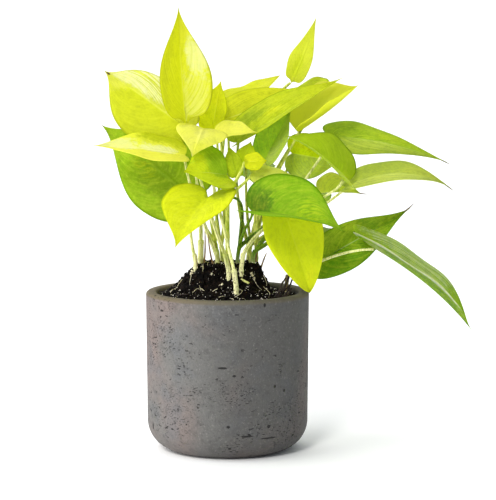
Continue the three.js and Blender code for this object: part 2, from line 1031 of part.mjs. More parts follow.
function makeHole(cutting) {
  const [x, y] = cutting.foot;
  const ground = soilHeight(x, y);
  const radius = (cutting.radius + fitGap) / Math.cos(Math.PI / holeSides);
  const hole = new THREE.CylinderGeometry(radius, radius, rootDepth + holeRise, holeSides);
  hole.rotateX(Math.PI / 2);
  hole.translate(x, y, ground + (holeRise - rootDepth) / 2);
  return solidOf(hole);
}

makePot();

let soil = makeSoilBlock();
for (const cutting of Object.values(cuttings)) soil = soil.subtract(makeHole(cutting));
place("soil", geometryFrom(soil), material(0x241c18, 1));

for (const [name, cutting] of Object.entries(cuttings))
  place("stem_" + name, geometryFrom(makeCutting(cutting)), material(0xbfc878, 0.55));

for (const [name, leaf] of Object.entries(leaves))
  place("leaf_" + name, geometryFrom(makeBlade(leaf)), material(leaf.color, 0.4));

export default plant;
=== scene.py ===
import math

import bmesh
import bpy
import numpy as np
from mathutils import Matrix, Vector


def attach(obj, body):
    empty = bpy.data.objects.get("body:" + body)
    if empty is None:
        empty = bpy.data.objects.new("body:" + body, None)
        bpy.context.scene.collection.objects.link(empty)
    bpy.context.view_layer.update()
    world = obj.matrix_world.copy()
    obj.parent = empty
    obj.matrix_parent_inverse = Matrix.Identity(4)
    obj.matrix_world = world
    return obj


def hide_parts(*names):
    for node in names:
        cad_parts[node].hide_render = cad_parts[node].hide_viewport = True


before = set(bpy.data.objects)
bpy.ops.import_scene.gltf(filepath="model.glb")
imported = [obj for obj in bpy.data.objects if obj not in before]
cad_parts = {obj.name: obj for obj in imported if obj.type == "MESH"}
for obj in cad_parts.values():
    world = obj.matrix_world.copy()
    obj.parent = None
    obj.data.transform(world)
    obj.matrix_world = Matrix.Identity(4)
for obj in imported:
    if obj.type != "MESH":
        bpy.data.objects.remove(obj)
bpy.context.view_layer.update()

millimetre = 0.001
print("frame loaded:", len(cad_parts), "nodes")

# Camera, at the angle of the photograph

camera = {
    "place": (0.0156, -1.786, 0.363),
    "pitch": -6.7,  # degrees, down from level
    "lens": 169.4,
    "sensor": 36.0,  # along the image's 500 pixels of height
}

lens = bpy.data.cameras.new("camera")
lens.sensor_fit = "VERTICAL"
lens.sensor_height = camera["sensor"]
lens.lens = camera["lens"]
lens.clip_end = 200
viewer = bpy.data.objects.new("camera", lens)
viewer.location = camera["place"]
viewer.rotation_euler = (math.radians(90 + camera["pitch"]), 0, 0)
bpy.context.scene.collection.objects.link(viewer)
bpy.context.scene.camera = viewer


# Materials

# sRGB numbers from 0 to 255 as linear light: below 0.04 a straight line, above it a power of 2.4
def paint(red, green, blue):
    shares = [channel / 255 for channel in (red, green, blue)]
    light = [s / 12.92 if s < 0.04045 else ((s + 0.055) / 1.055) ** 2.4 for s in shares]
    return (*light, 1)


# One output of a node, with Python's operators as Math nodes
class Socket:
    def __init__(self, finish, output):
        self.finish = finish
        self.output = output

    def calculate(self, operation, first, second):
        return self.finish.node("Math", {"operation": operation}, {0: first, 1: second})

    def __add__(self, other):
        return self.calculate("ADD", self, other)

    __radd__ = __add__

    def __sub__(self, other):
        return self.calculate("SUBTRACT", self, other)

    def __rsub__(self, other):
        return self.calculate("SUBTRACT", other, self)

    def __mul__(self, other):
        return self.calculate("MULTIPLY", self, other)

    __rmul__ = __mul__

    def __truediv__(self, other):
        return self.calculate("DIVIDE", self, other)

    def __rtruediv__(self, other):
        return self.calculate("DIVIDE", other, self)

    def __abs__(self):
        return self.calculate("ABSOLUTE", self, 0)

    def fraction(self):
        return self.calculate("FRACT", self, 0)

    def atLeast(self, other):
        return self.calculate("MAXIMUM", self, other)


# A material under construction
class Finish:
    def __init__(self, name):
        self.material = bpy.data.materials.new(name)
        self.material.use_nodes = True
        self.tree = self.material.node_tree
        self.tree.nodes.clear()

    # Adds a node, its settings first, then the values or links of its sockets, and gives one output
    def node(self, kind, settings, sockets, output=0):
        made = self.tree.nodes.new("ShaderNode" + kind)
        for key, value in settings.items():
            setattr(made, key, value)
        for key, value in sockets.items():
            if isinstance(value, Socket):
                self.tree.links.new(value.output, made.inputs[key])
            else:
                made.inputs[key].default_value = value
        return Socket(self, made.outputs[output])

    # Place on the piece, in metres, which is also its place in the part
    def objectPlace(self):
        return self.node("TexCoord", {}, {}, "Object")

    # A number that the mesh carries at its corners, by its name
    def mark(self, name):
        return self.node("Attribute", {"attribute_name": name}, {}, "Fac")

    # One coordinate of a place: X, Y or Z
    def coordinate(self, place, axis):
        return self.node("SeparateXYZ", {}, {0: place}, axis)

    def vectorLength(self, vector):
        return self.node("VectorMath", {"operation": "LENGTH"}, {0: vector}, "Value")

    # Smooth step: 0 below low, 1 above high and an S-curve between
    def step(self, value, low, high):
        sockets = {"Value": value, "From Min": low, "From Max": high}
        return self.node("MapRange", {"interpolation_type": "SMOOTHSTEP"}, sockets)

    # Cloudy noise round 0.5, with scale waves to the metre
    def noise(self, place, scale, detail, roughness, distortion=0.0):
        sockets = {"Scale": scale, "Detail": detail, "Roughness": roughness, "Distortion": distortion}
        return self.node("TexNoise", {}, {"Vector": place, **sockets})

    # Each coordinate times its own factor
    def stretch(self, place, factors):
        return self.node("VectorMath", {"operation": "MULTIPLY"}, {0: place, 1: factors})

    # The colour first (1 - amount) + second amount
    def mix(self, amount, first, second):
        return self.node("Mix", {"data_type": "RGBA"}, {0: amount, 6: first, 7: second}, 2)

    # The normal tilted by the slope of height times distance, in metres
    def bump(self, height, distance, strength):
        return self.node("Bump", {}, {"Height": height, "Distance": distance, "Strength": strength})

    # Closes the material with one Principled shader, and light let through where through is set
    def close(self, sockets, through=None):
        surface = self.node("BsdfPrincipled", {}, sockets)
        if through:
            glow = self.node("BsdfTranslucent", {}, {"Color": through["color"]})
            surface = self.node("MixShader", {}, {0: through["share"], 1: surface, 2: glow})
        end = self.tree.nodes.new("ShaderNodeOutputMaterial")
        self.tree.links.new(surface.output, end.inputs["Surface"])
        return self.material


# Meshes

# Puts whole arrays of corners and faces into a mesh object that rides on the root. marks are
# numbers at the corners, which the materials read by their names.
def makePiece(name, points, faces, finish, marks=None, smooth=True):
    mesh = bpy.data.meshes.new(name)
    mesh.vertices.add(len(points))
    mesh.vertices.foreach_set("co", np.asarray(points, np.float32).ravel())
    faces = np.asarray(faces, np.int32)
    sides = faces.shape[1]
    mesh.loops.add(faces.size)
    mesh.loops.foreach_set("vertex_index", faces.ravel())
    mesh.polygons.add(len(faces))
    mesh.polygons.foreach_set("loop_start", np.arange(0, faces.size, sides, dtype=np.int32))
    mesh.polygons.foreach_set("use_smooth", np.full(len(faces), smooth))
    mesh.update(calc_edges=True)
    for mark, values in (marks or {}).items():
        layer = mesh.attributes.new(mark, "FLOAT", "POINT")
        layer.data.foreach_set("value", np.asarray(values, np.float32).ravel())
    mesh.materials.append(finish)
    piece = bpy.data.objects.new(name, mesh)
    bpy.context.scene.collection.objects.link(piece)
    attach(piece, "root")
    return piece


# Joins the corners that fall on one point, drops the faces that had no size and turns the rest
# outward
def closeSeams(piece):
    shape = bmesh.new()
    shape.from_mesh(piece.data)
    bmesh.ops.remove_doubles(shape, verts=shape.verts, dist=2e-6)
    bmesh.ops.recalc_face_normals(shape, faces=shape.faces)
    shape.to_mesh(piece.data)
    shape.free()


# Faces of a grid of rows and columns, closed round the columns
def gridFaces(rows, columns):
    i, j = np.meshgrid(np.arange(rows - 1), np.arange(columns), indexing="ij")
    a = i * columns + j
    b = i * columns + (j + 1) % columns
    return np.stack([a, b, b + columns, a + columns], -1).reshape(-1, 4)


# Vectors divided by their lengths
def unitOf(vectors):
    length = np.linalg.norm(vectors, axis=-1, keepdims=True)
    return vectors / np.maximum(length, 1e-12)


# Smooth step in numpy, as in the materials
def smoothStep(low, high, value):
    share = np.clip((value - low) / (high - low), 0, 1)
    return share * share * (3 - 2 * share)


# A point on a cubic Bezier curve for each t: (1-t)^3 a + 3(1-t)^2 t b + 3(1-t) t^2 c + t^3 d
def bezier(a, b, c, d, t):
    t = np.asarray(t)[..., None]
    u = 1 - t
    return u**3 * np.array(a) + 3 * u * u * t * np.array(b) + 3 * u * t * t * np.array(c) + t**3 * np.array(d)


# A tube along a path: at each point, radius times (cos a side + flat sin a up), with side
# square to the path and to a fixed direction; both ends run in to a point on the path.
def tubeSurface(path, radius, sides, flat=1.0):
    path = np.asarray(path, float)
    ahead = unitOf(np.gradient(path, axis=0))
    fixed = np.eye(3)[np.argmin(np.abs(ahead).mean(axis=0))]
    side = unitOf(np.cross(ahead, fixed))
    up = np.cross(side, ahead)
    angle = 2 * np.pi * np.arange(sides) / sides
    cosine, sine = np.cos(angle)[None, :, None], np.sin(angle)[None, :, None]
    ring = cosine * side[:, None] + flat * sine * up[:, None]
    points = path[:, None] + np.asarray(radius).reshape(-1, 1, 1) * ring
    first, last = (path[end].repeat(sides, 0)[None] for end in (slice(0, 1), slice(-1, None)))
    return np.concatenate([first, points, last])


print("helpers ready")

# Pot: a turned shell of cast concrete

pot = {
    "radius": 0.0625,
    "height": 0.122,
    "taper": 0.0009,  # how far the side leans in at the foot
    "footRadius": 0.023,
    "wall": 0.0085,
    "floor": 0.012,
    "cavityFillet": 0.014,
    "rimRound": 0.0026,
    "sideMargins": (0.004, 0.002),  # kept free of rings above the foot and below the rim
    "wander": 0.0002,  # how far the hand-cast side lies in from a true round
    "around": 200,
    "steps": {"foot": 24, "side": 12, "rim": 7, "fillet": 8},
    "warm": paint(122, 110, 106),
    "grey": paint(106, 105, 103),
    "cool": paint(99, 101, 105),
    # painted shade: the dark grey that the right side of the pot is painted towards
    "painted_shade": paint(46, 46, 44),
    "dark": paint(70, 68, 67),
    "pale": paint(150, 146, 142),
    # painted shade: the near black of the shade in the pits' hollows
    "pit_shade": paint(16, 15, 15),
    "lip": paint(96, 86, 62),
    # Larger pits: place on the wall in metres, and how far each reaches across and up
    "pits": (
        ((-0.0330, -0.0525, 0.013), (0.0032, 0.0011)),
        ((-0.0565, -0.0240, 0.021), (0.0014, 0.0036)),
        ((0.0010, -0.0620, 0.0275), (0.0015, 0.0013)),
        ((0.0310, -0.0530, 0.0265), (0.0016, 0.0014)),
        ((0.0150, -0.0600, 0.0200), (0.0050, 0.0007)),
        ((0.0320, -0.0530, 0.0175), (0.0075, 0.0006)),
        ((0.0290, -0.0540, 0.0110), (0.0030, 0.0007)),
        ((-0.0040, -0.0620, 0.0720), (0.0042, 0.0008)),
        ((0.0055, -0.0620, 0.0660), (0.0016, 0.0011)),
        ((0.0360, -0.0510, 0.0565), (0.0012, 0.0013)),
        ((0.0430, -0.0450, 0.0525), (0.0013, 0.0015)),
        ((0.0600, -0.0160, 0.0520), (0.0012, 0.0022)),
        ((-0.0490, -0.0385, 0.1120), (0.0020, 0.0008)),
        ((0.0280, -0.0560, 0.1185), (0.0012, 0.0018)),
        ((0.0120, 0.0610, 0.0850), (0.0040, 0.0008)),
        ((-0.0360, 0.0510, 0.0400), (0.0016, 0.0014)),
        ((0.0420, 0.0460, 0.0220), (0.0060, 0.0007)),
    ),
}


# Points of an arc, from angles in degrees: centre + radius (cos angle, sin angle)
def arc(centre, radius, start, end, steps):
    angle = np.radians(np.linspace(start, end, steps + 1))
    return np.array(centre) + radius * np.stack([np.cos(angle), np.sin(angle)], -1)


# Concrete: a base colour with painted shade, mottle and grain mixed over it where their noises pass a step,
# then a stained lip, and pits where 1 - step(distance / size + noise) is high, painted near black as painted
# shade in their hollows
def concreteFinish():
    finish = Finish("concrete")
    place = finish.objectPlace()
    blotch = finish.noise(place, 15, 3, 0.5, 0.4)
    patch = finish.noise(place, 38, 4, 0.6, 0.3)
    mottle = finish.noise(place, 150, 5, 0.7)
    grain = finish.noise(place, 620, 4, 0.7)
    sideways = finish.coordinate(place, "X")
    height = finish.coordinate(place, "Z")
    # Painted shade: the concrete is painted darker from the left side towards the right, as light from the
    # left leaves it, and a little less dark at the far right; the warm blotches lean to the left with it
    painted_shade = finish.step(sideways + (blotch - 0.5) * 0.03, -0.052, 0.020)
    painted_shade = painted_shade * (1 - finish.step(sideways, 0.050, 0.0625) * 0.5)
    color = finish.mix(finish.step(blotch * 0.8 - painted_shade * 0.16, 0.26, 0.48), pot["grey"], pot["warm"])
    color = finish.mix(finish.step(patch, 0.48, 0.68) * 0.45, color, pot["cool"])
    color = finish.mix(painted_shade * 0.46, color, pot["painted_shade"])
    color = finish.mix(finish.step(mottle, 0.46, 0.66) * 0.42, color, pot["dark"])
    color = finish.mix(finish.step(grain, 0.54, 0.68) * 0.5, color, pot["dark"])
    color = finish.mix((1 - finish.step(grain, 0.30, 0.44)) * 0.3, color, pot["pale"])
    lip = finish.step(height + (patch - 0.5) * 0.0015, pot["height"] - 0.0036, pot["height"] - 0.0016)
    color = finish.mix(lip * (0.8 - painted_shade * 0.35), color, pot["lip"])
    # Small pits lie flat and in drifts, where two fine noises run high together
    flat = finish.stretch(place, (1, 1, 2.1))
    drift = finish.noise(place, 30, 3, 0.65)
    small = finish.step(finish.noise(flat, 520, 2, 0.5), 0.61, 0.66) * finish.step(drift, 0.48, 0.60) * 0.9
    wide = finish.step(finish.noise(flat, 210, 2, 0.4), 0.68, 0.72) * finish.step(drift, 0.42, 0.55)
    pits = small.atLeast(wide)
    ragged = (grain - 0.5) * 0.9 + (mottle - 0.5) * 1.6
    for centre, (across, up) in pot["pits"]:
        away = finish.node("VectorMath", {"operation": "SUBTRACT"}, {0: place, 1: centre})
        away = finish.stretch(away, (1 / across, 1 / across, 1 / up))
        away = finish.vectorLength(away)
        pits = pits.atLeast(1 - finish.step(away + ragged, 0.6, 1.0))
    # Painted shade: the pits are painted near black, as the shade in their hollows
    color = finish.mix(pits * 0.85, color, pot["pit_shade"])
    relief = mottle * 0.5 + grain * 0.35 - pits * 1.8
    sockets = {
        "Base Color": color,
        "Roughness": 0.85 - blotch * 0.12,
        "Normal": finish.bump(relief, 0.0005, 0.9),
        "Specular IOR Level": 0.25,
    }
    return finish.close(sockets)


# Each ring of the pot: radius (cos a, sin a) at its height, along a profile of arcs
def makePot():
    top, foot = pot["radius"], pot["radius"] - pot["taper"]
    inner, innerFoot = top - pot["wall"], foot - pot["wall"]
    low, fillet, rim = pot["footRadius"], pot["cavityFillet"], pot["rimRound"]
    steps = pot["steps"]
    sideFoot, sideTop = low + pot["sideMargins"][0], pot["height"] - rim - pot["sideMargins"][1]
    side = np.linspace((foot, sideFoot), (top, sideTop), steps["side"])
    profile = np.concatenate([
        [[0, 0], [0.5 * (foot - low), 0]],
        arc((foot - low, low), low, -90, 0, steps["foot"]),
        side,
        arc((top - rim, pot["height"] - rim), rim, 0, 90, steps["rim"]),
        arc((inner + rim, pot["height"] - rim), rim, 90, 180, steps["rim"]),
        arc((innerFoot - fillet, pot["floor"] + fillet), fillet, 0, -90, steps["fillet"]),
        [[0, pot["floor"]]],
    ])
    angle = 2 * np.pi * np.arange(pot["around"]) / pot["around"]
    ring = np.stack([np.cos(angle), np.sin(angle)], -1)
    points = np.empty((len(profile), pot["around"], 3))
    points[..., :2] = profile[:, None, :1] * ring[None]
    points[..., 2] = profile[:, None, 1]
    # Hand casting: the side wanders inwards by wander times a sum of two waves round the pot
    wander = 0.5 + 0.25 * np.sin(3 * angle + 1.1) + 0.25 * np.sin(5 * angle + 2.3)
    points[..., :2] *= 1 - pot["wander"] / pot["radius"] * wander[None, :, None]
    faces = gridFaces(len(profile), pot["around"])
    piece = makePiece("pot_fine", points.reshape(-1, 3), faces, concreteFinish())
    closeSeams(piece)
    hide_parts("pot")


makePot()
print("pot made")

# Soil: a heap of crumbs round the cuttings

soil = {
    "edgeHeight": 0.118,
    "moundHeight": 0.024,  # above that edge
    "moundCentre": (0.003, 0.006),
    "reach": {"left": 0.024, "right": 0.023, "front": 0.013, "back": 0.024},  # of the level top
    "shoulder": 0.85,  # where the heap starts to fall, in shares of that reach
    "foot": {"left": 2.3, "right": 1.35},  # where it ends, in the same shares
    "apronShare": 0.27,  # of the heap's height, which is a low slope out to the wall
    "apronStart": 0.020,  # distance from the pot's axis where that slope starts to fall
    "wallGap": 0.0004,
    # Roughness of the surface: how high, how long and how many waves
    "rough": ((0.0010, 0.009, 14), (0.0009, 0.0034, 18)),
    # The body under the surface: shares of its radius, and heights
    "below": ((0.998, 0.100), (0.995, 0.040), (0.96, 0.019), (0.74, 0.0125), (0.0, 0.0124)),
    "rings": 60,
    "around": 200,
    "crumbs": 3600,
    "clods": 420,
    "perlite": 520,
    # Sizes: the smallest, and how much larger the largest may be
    "crumbSize": (0.0005, 0.0013),
    "clodSize": (0.0013, 0.0019),
    "perliteSize": (0.0002, 0.0009),
    # How far each kind stays from the pot's wall
    "crumbInset": 0.0022,
    "clodInset": 0.0045,
    "perliteInset": 0.003,
    "perliteLift": 0.0009,
    "seed": 7,
    "dark": paint(5, 3, 3),
    "brown": paint(38, 25, 18),
    "fibre": paint(110, 84, 62),
    "white": paint(236, 232, 224),
    "dusty": paint(172, 160, 145),
}


# Height of the mix, as in the CAD: a low slope out to the wall and a heap on it
def soilHeight(x, y):
    cx, cy = soil["moundCentre"]
    reach = soil["reach"]
    reachX = np.where(x < cx, reach["left"], reach["right"])
    reachY = np.where(y < cy, reach["front"], reach["back"])
    away = np.hypot((x - cx) / reachX, (y - cy) / reachY)
    rightness = smoothStep(0.5, 0.95, (x - cx) / np.hypot(np.hypot(x - cx, y - cy), millimetre))
    foot = soil["foot"]["left"] + (soil["foot"]["right"] - soil["foot"]["left"]) * rightness
    inner = pot["radius"] - pot["wall"]
    apron = 1 - smoothStep(soil["apronStart"], inner, np.hypot(x, y))
    heap = 1 - smoothStep(soil["shoulder"], foot, away)
    share = soil["apronShare"]
    return soil["edgeHeight"] + soil["moundHeight"] * (heap + (apron - heap) * share)


# Sum of sine waves in random directions, from -1 to 1, as rough ground
def ripple(x, y, wavelength, count, rng):
    turn = rng.uniform(0, 2 * np.pi, count)
    phase = rng.uniform(0, 2 * np.pi, count)
    rate = 2 * np.pi / (wavelength * rng.uniform(0.6, 1.6, count))
    waves = np.sin(rate * (x[..., None] * np.cos(turn) + y[..., None] * np.sin(turn)) + phase)
    return waves.mean(-1) * math.sqrt(count) / 2


# Many lumps as one array of corners and faces: a ball of 12 corners, stretched, dented and
# turned at random, at each place
def lumpArrays(places, sizes, rng, dent=0.25, flatness=(0.5, 1.0)):
    golden = (1 + 5**0.5) / 2
    corners = np.array([
        (-1, golden, 0), (1, golden, 0), (-1, -golden, 0), (1, -golden, 0),
        (0, -1, golden), (0, 1, golden), (0, -1, -golden), (0, 1, -golden),
        (golden, 0, -1), (golden, 0, 1), (-golden, 0, -1), (-golden, 0, 1),
    ])
    sides = np.array([
        (0, 11, 5), (0, 5, 1), (0, 1, 7), (0, 7, 10), (0, 10, 11),
        (1, 5, 9), (5, 11, 4), (11, 10, 2), (10, 7, 6), (7, 1, 8),
        (3, 9, 4), (3, 4, 2), (3, 2, 6), (3, 6, 8), (3, 8, 9),
        (4, 9, 5), (2, 4, 11), (6, 2, 10), (8, 6, 7), (9, 8, 1),
    ])
    ball = unitOf(corners)
    count = len(places)
    stretch = rng.uniform(flatness[0], flatness[1], (count, 1, 3))
    radial = 1 + dent * rng.uniform(-1, 1, (count, len(ball), 1))
    turn = np.linalg.qr(rng.normal(size=(count, 3, 3)))[0]
    turn *= np.sign(np.linalg.det(turn))[:, None, None]
    local = ball[None] * stretch * radial * np.asarray(sizes).reshape(-1, 1, 1)
    points = np.einsum("nij,nkj->nki", turn, local) + np.asarray(places)[:, None]
    faces = sides[None] + len(ball) * np.arange(count)[:, None, None]
    return points.reshape(-1, 3), faces.reshape(-1, 3)


# Places on the mix, drawn evenly over the disc: the radius is the root of an even draw
def soilPlaces(count, rng, inset):
    radius = (pot["radius"] - pot["wall"] - inset) * np.sqrt(rng.uniform(0, 1, count))
    angle = rng.uniform(0, 2 * np.pi, count)
    x, y = radius * np.cos(angle), radius * np.sin(angle)
    return np.stack([x, y, soilHeight(x, y)], -1)


# Potting mix: dark, browner where the lumps' noise is high, with pale fibre at its finest peaks
def mixFinish():
    finish = Finish("potting_mix")
    place = finish.objectPlace()
    lumps = finish.noise(place, 260, 4, 0.7)
    grain = finish.noise(place, 1100, 3, 0.6)
    color = finish.mix(finish.step(lumps, 0.5, 0.68) * 0.7, soil["dark"], soil["brown"])
    color = finish.mix(finish.step(grain, 0.62, 0.74) * 0.35, color, soil["fibre"])
    sockets = {
        "Base Color": color,
        "Roughness": 0.7 + grain * 0.2,
        "Normal": finish.bump(lumps * 0.6 + grain * 0.5, 0.0012, 0.9),
        "Specular IOR Level": 0.08,
    }
    return finish.close(sockets)


# Perlite: white, dusty where its grain is low
def perliteFinish():
    finish = Finish("perlite")
    place = finish.objectPlace()
    grain = finish.noise(place, 900, 3, 0.6)
    color = finish.mix(finish.step(grain, 0.3, 0.7), soil["dusty"], soil["white"])
    sockets = {
        "Base Color": color,
        "Roughness": 0.85 - grain * 0.1,
        "Normal": finish.bump(grain, 0.0004, 0.8),
    }
    return finish.close(sockets)


# The mix's body: rings of a disc lifted to soilHeight plus roughness, then down the pot's wall
def makeSoil():
    rng = np.random.default_rng(soil["seed"])
    wall = pot["radius"] - pot["wall"] - soil["wallGap"]
    share = np.linspace(0, 1, soil["rings"])[:, None]
    angle = (2 * np.pi * np.arange(soil["around"]) / soil["around"])[None]
    x, y = wall * share * np.cos(angle), wall * share * np.sin(angle)
    rough = sum(height * ripple(x, y, length, count, rng) for height, length, count in soil["rough"])
    z = soilHeight(x, y) + rough * (1 - 0.6 * share**8)
    top = np.stack([x, y, z], -1)
    down = np.array(soil["below"])
    ring = np.stack([np.cos(angle[0]), np.sin(angle[0])], -1)
    below = np.empty((len(down), soil["around"], 3))
    below[..., :2] = wall * down[:, None, :1] * ring[None]
    below[..., 2] = down[:, None, 1]
    points = np.concatenate([top, below]).reshape(-1, 3)
    faces = gridFaces(soil["rings"] + len(down), soil["around"])[:, ::-1]
    piece = makePiece("soil_fine", points, faces, mixFinish())
    closeSeams(piece)
    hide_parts("soil")

    # Crumbs and larger clods, thickest on the heap
    least, more = soil["crumbSize"]
    sizes = least + more * rng.beta(1.3, 4, soil["crumbs"])
    places = soilPlaces(soil["crumbs"], rng, soil["crumbInset"])
    least, more = soil["clodSize"]
    clodSizes = least + more * rng.beta(1.2, 3, soil["clods"])
    clodPlaces = soilPlaces(soil["clods"], rng, soil["clodInset"])
    sizes, places = np.concatenate([sizes, clodSizes]), np.concatenate([places, clodPlaces])
    places[:, 2] += 0.2 * sizes
    points, faces = lumpArrays(places, sizes, rng)
    crumbs = makePiece("soil_crumbs", points, faces, mixFinish(), smooth=False)

    least, more = soil["perliteSize"]
    sizes = least + more * rng.beta(1.1, 6, soil["perlite"])
    places = soilPlaces(soil["perlite"], rng, soil["perliteInset"])
    places[:, 2] += soil["perliteLift"] + 0.5 * sizes
    points, faces = lumpArrays(places, sizes, rng, 0.2, (0.7, 1.0))
    grains = makePiece("perlite", points, faces, perliteFinish(), smooth=False)
    print("soil made")


makeSoil()

# Leaf blades

leafDefaults = {
    "width": 48,  # millimetres, across both halves laid flat
    "face": (0, -1, 0.3),  # the way the upper face looks, before it is squared to the midrib
    "droop": 15,  # degrees that the midrib bends down from base to tip
    "fold": (10, 10),  # degrees that the left and right halves rise from the midrib
    "curl": (10, 10),  # degrees that each half then bends down again
    "halves": (1, 1),  # how wide the left and right halves are, as shares of half the width
    "lobe": 0.08,  # how far the lobes reach back, as a share of the length
    "widest": 0.35,  # where the blade is widest, as a share of the length
    "full": 0.42,  # how late the margin turns in to the tip
    "blunt": 0,  # how round the tip is, from 0 to 1
    "sweep": 0,  # degrees that the midrib bends sideways
    "wave": (0.8, 2, 0),  # millimetres of height, count and phase of the margin's waves
    "color": (205, 220, 20),
    "second": (170, 195, 20),  # the colour that the first runs into
    "shift": (0.5, 0, 0),  # of the second colour: its share, more towards the tip, more to the left
    "veins": 9,  # side veins in a half
    "left": None,  # the left half's colour, where it is another: partly its own tone and partly painted light, where the fold turns the two halves differently to the light
    "rim": "dark",  # or pale, the margin's colour; a dark margin is partly painted shade along the edge
    "blotch": 0.2,  # strength of the irregular lighter and darker marks
    "crisp": 0.3,  # strength of the finest ones
    "through": 0.45,  # share of the light that passes through
    "rib": 0.6,  # how pale the midrib is
    "ribWidth": 0.045,  # and how wide, as a share of the half's width
    "veining": 0.45,  # how far the side veins, and the streaks of painted sheen and painted shade along them, stand out
    "slant": 0.4,  # how far a side vein runs towards the tip, as a share of the length
    # Tones and painted light: patches of the leaf's own colours, painted highlights where the leaf shines and
    # painted shadows where other leaves shade it; (along, across), how far each way, how strong, how broken
    # into streaks, colour
    "tones_and_painted_light": (),
    "speck": 0.15,  # strength of the pale specks and brown spots
    "burn": 0.5,  # how brown the tip is
    "slot": "leaf_lime",  # the kind of leaf: lime, pale or green
}

blade = {
    "rows": 72,
    "columns": 13,  # in each half
    "crowding": 1.4,  # above 1, the columns gather at the midrib
    "thickness": 0.00046,
    "edgeShare": 0.25,  # of that thickness, at the margin
    "ribHeight": 0.0009,
    "ribWidth": 0.0011,
    "grooveDepth": 0.00018,
    "midribSteps": 60,
    "droopPower": 1.3,  # above 1, the midrib bends more towards the tip
    "ribPower": 1.6,  # how the corners on the midrib crowd towards the base
    "lobeShare": 0.22,  # of the half outline's corners, which lie on the lobe
    "shoulderShare": 0.5,  # and on the lobe and the widest part together
    # Paints that mark every blade
    "pale": paint(250, 252, 70),
    "deep": paint(76, 106, 0),
    "midrib": paint(248, 252, 200),
    "underside": paint(184, 200, 84),
    "spot": paint(96, 84, 20),
    "burnt": paint(60, 44, 20),
    # Noises: waves to the metre, detail and roughness
    "cloud": (55, 3, 0.55),
    "mottle": (330, 4, 0.6),
    "fine": (1400, 2, 0.6),
    "blotches": (150, 4, 0.62),
    "grit": (620, 3, 0.62),
    "spots": (260, 2, 0.5),
    "streaks": {"along": 46, "out": 2.2, "half": 3},  # streaks to the length, across and by half
}
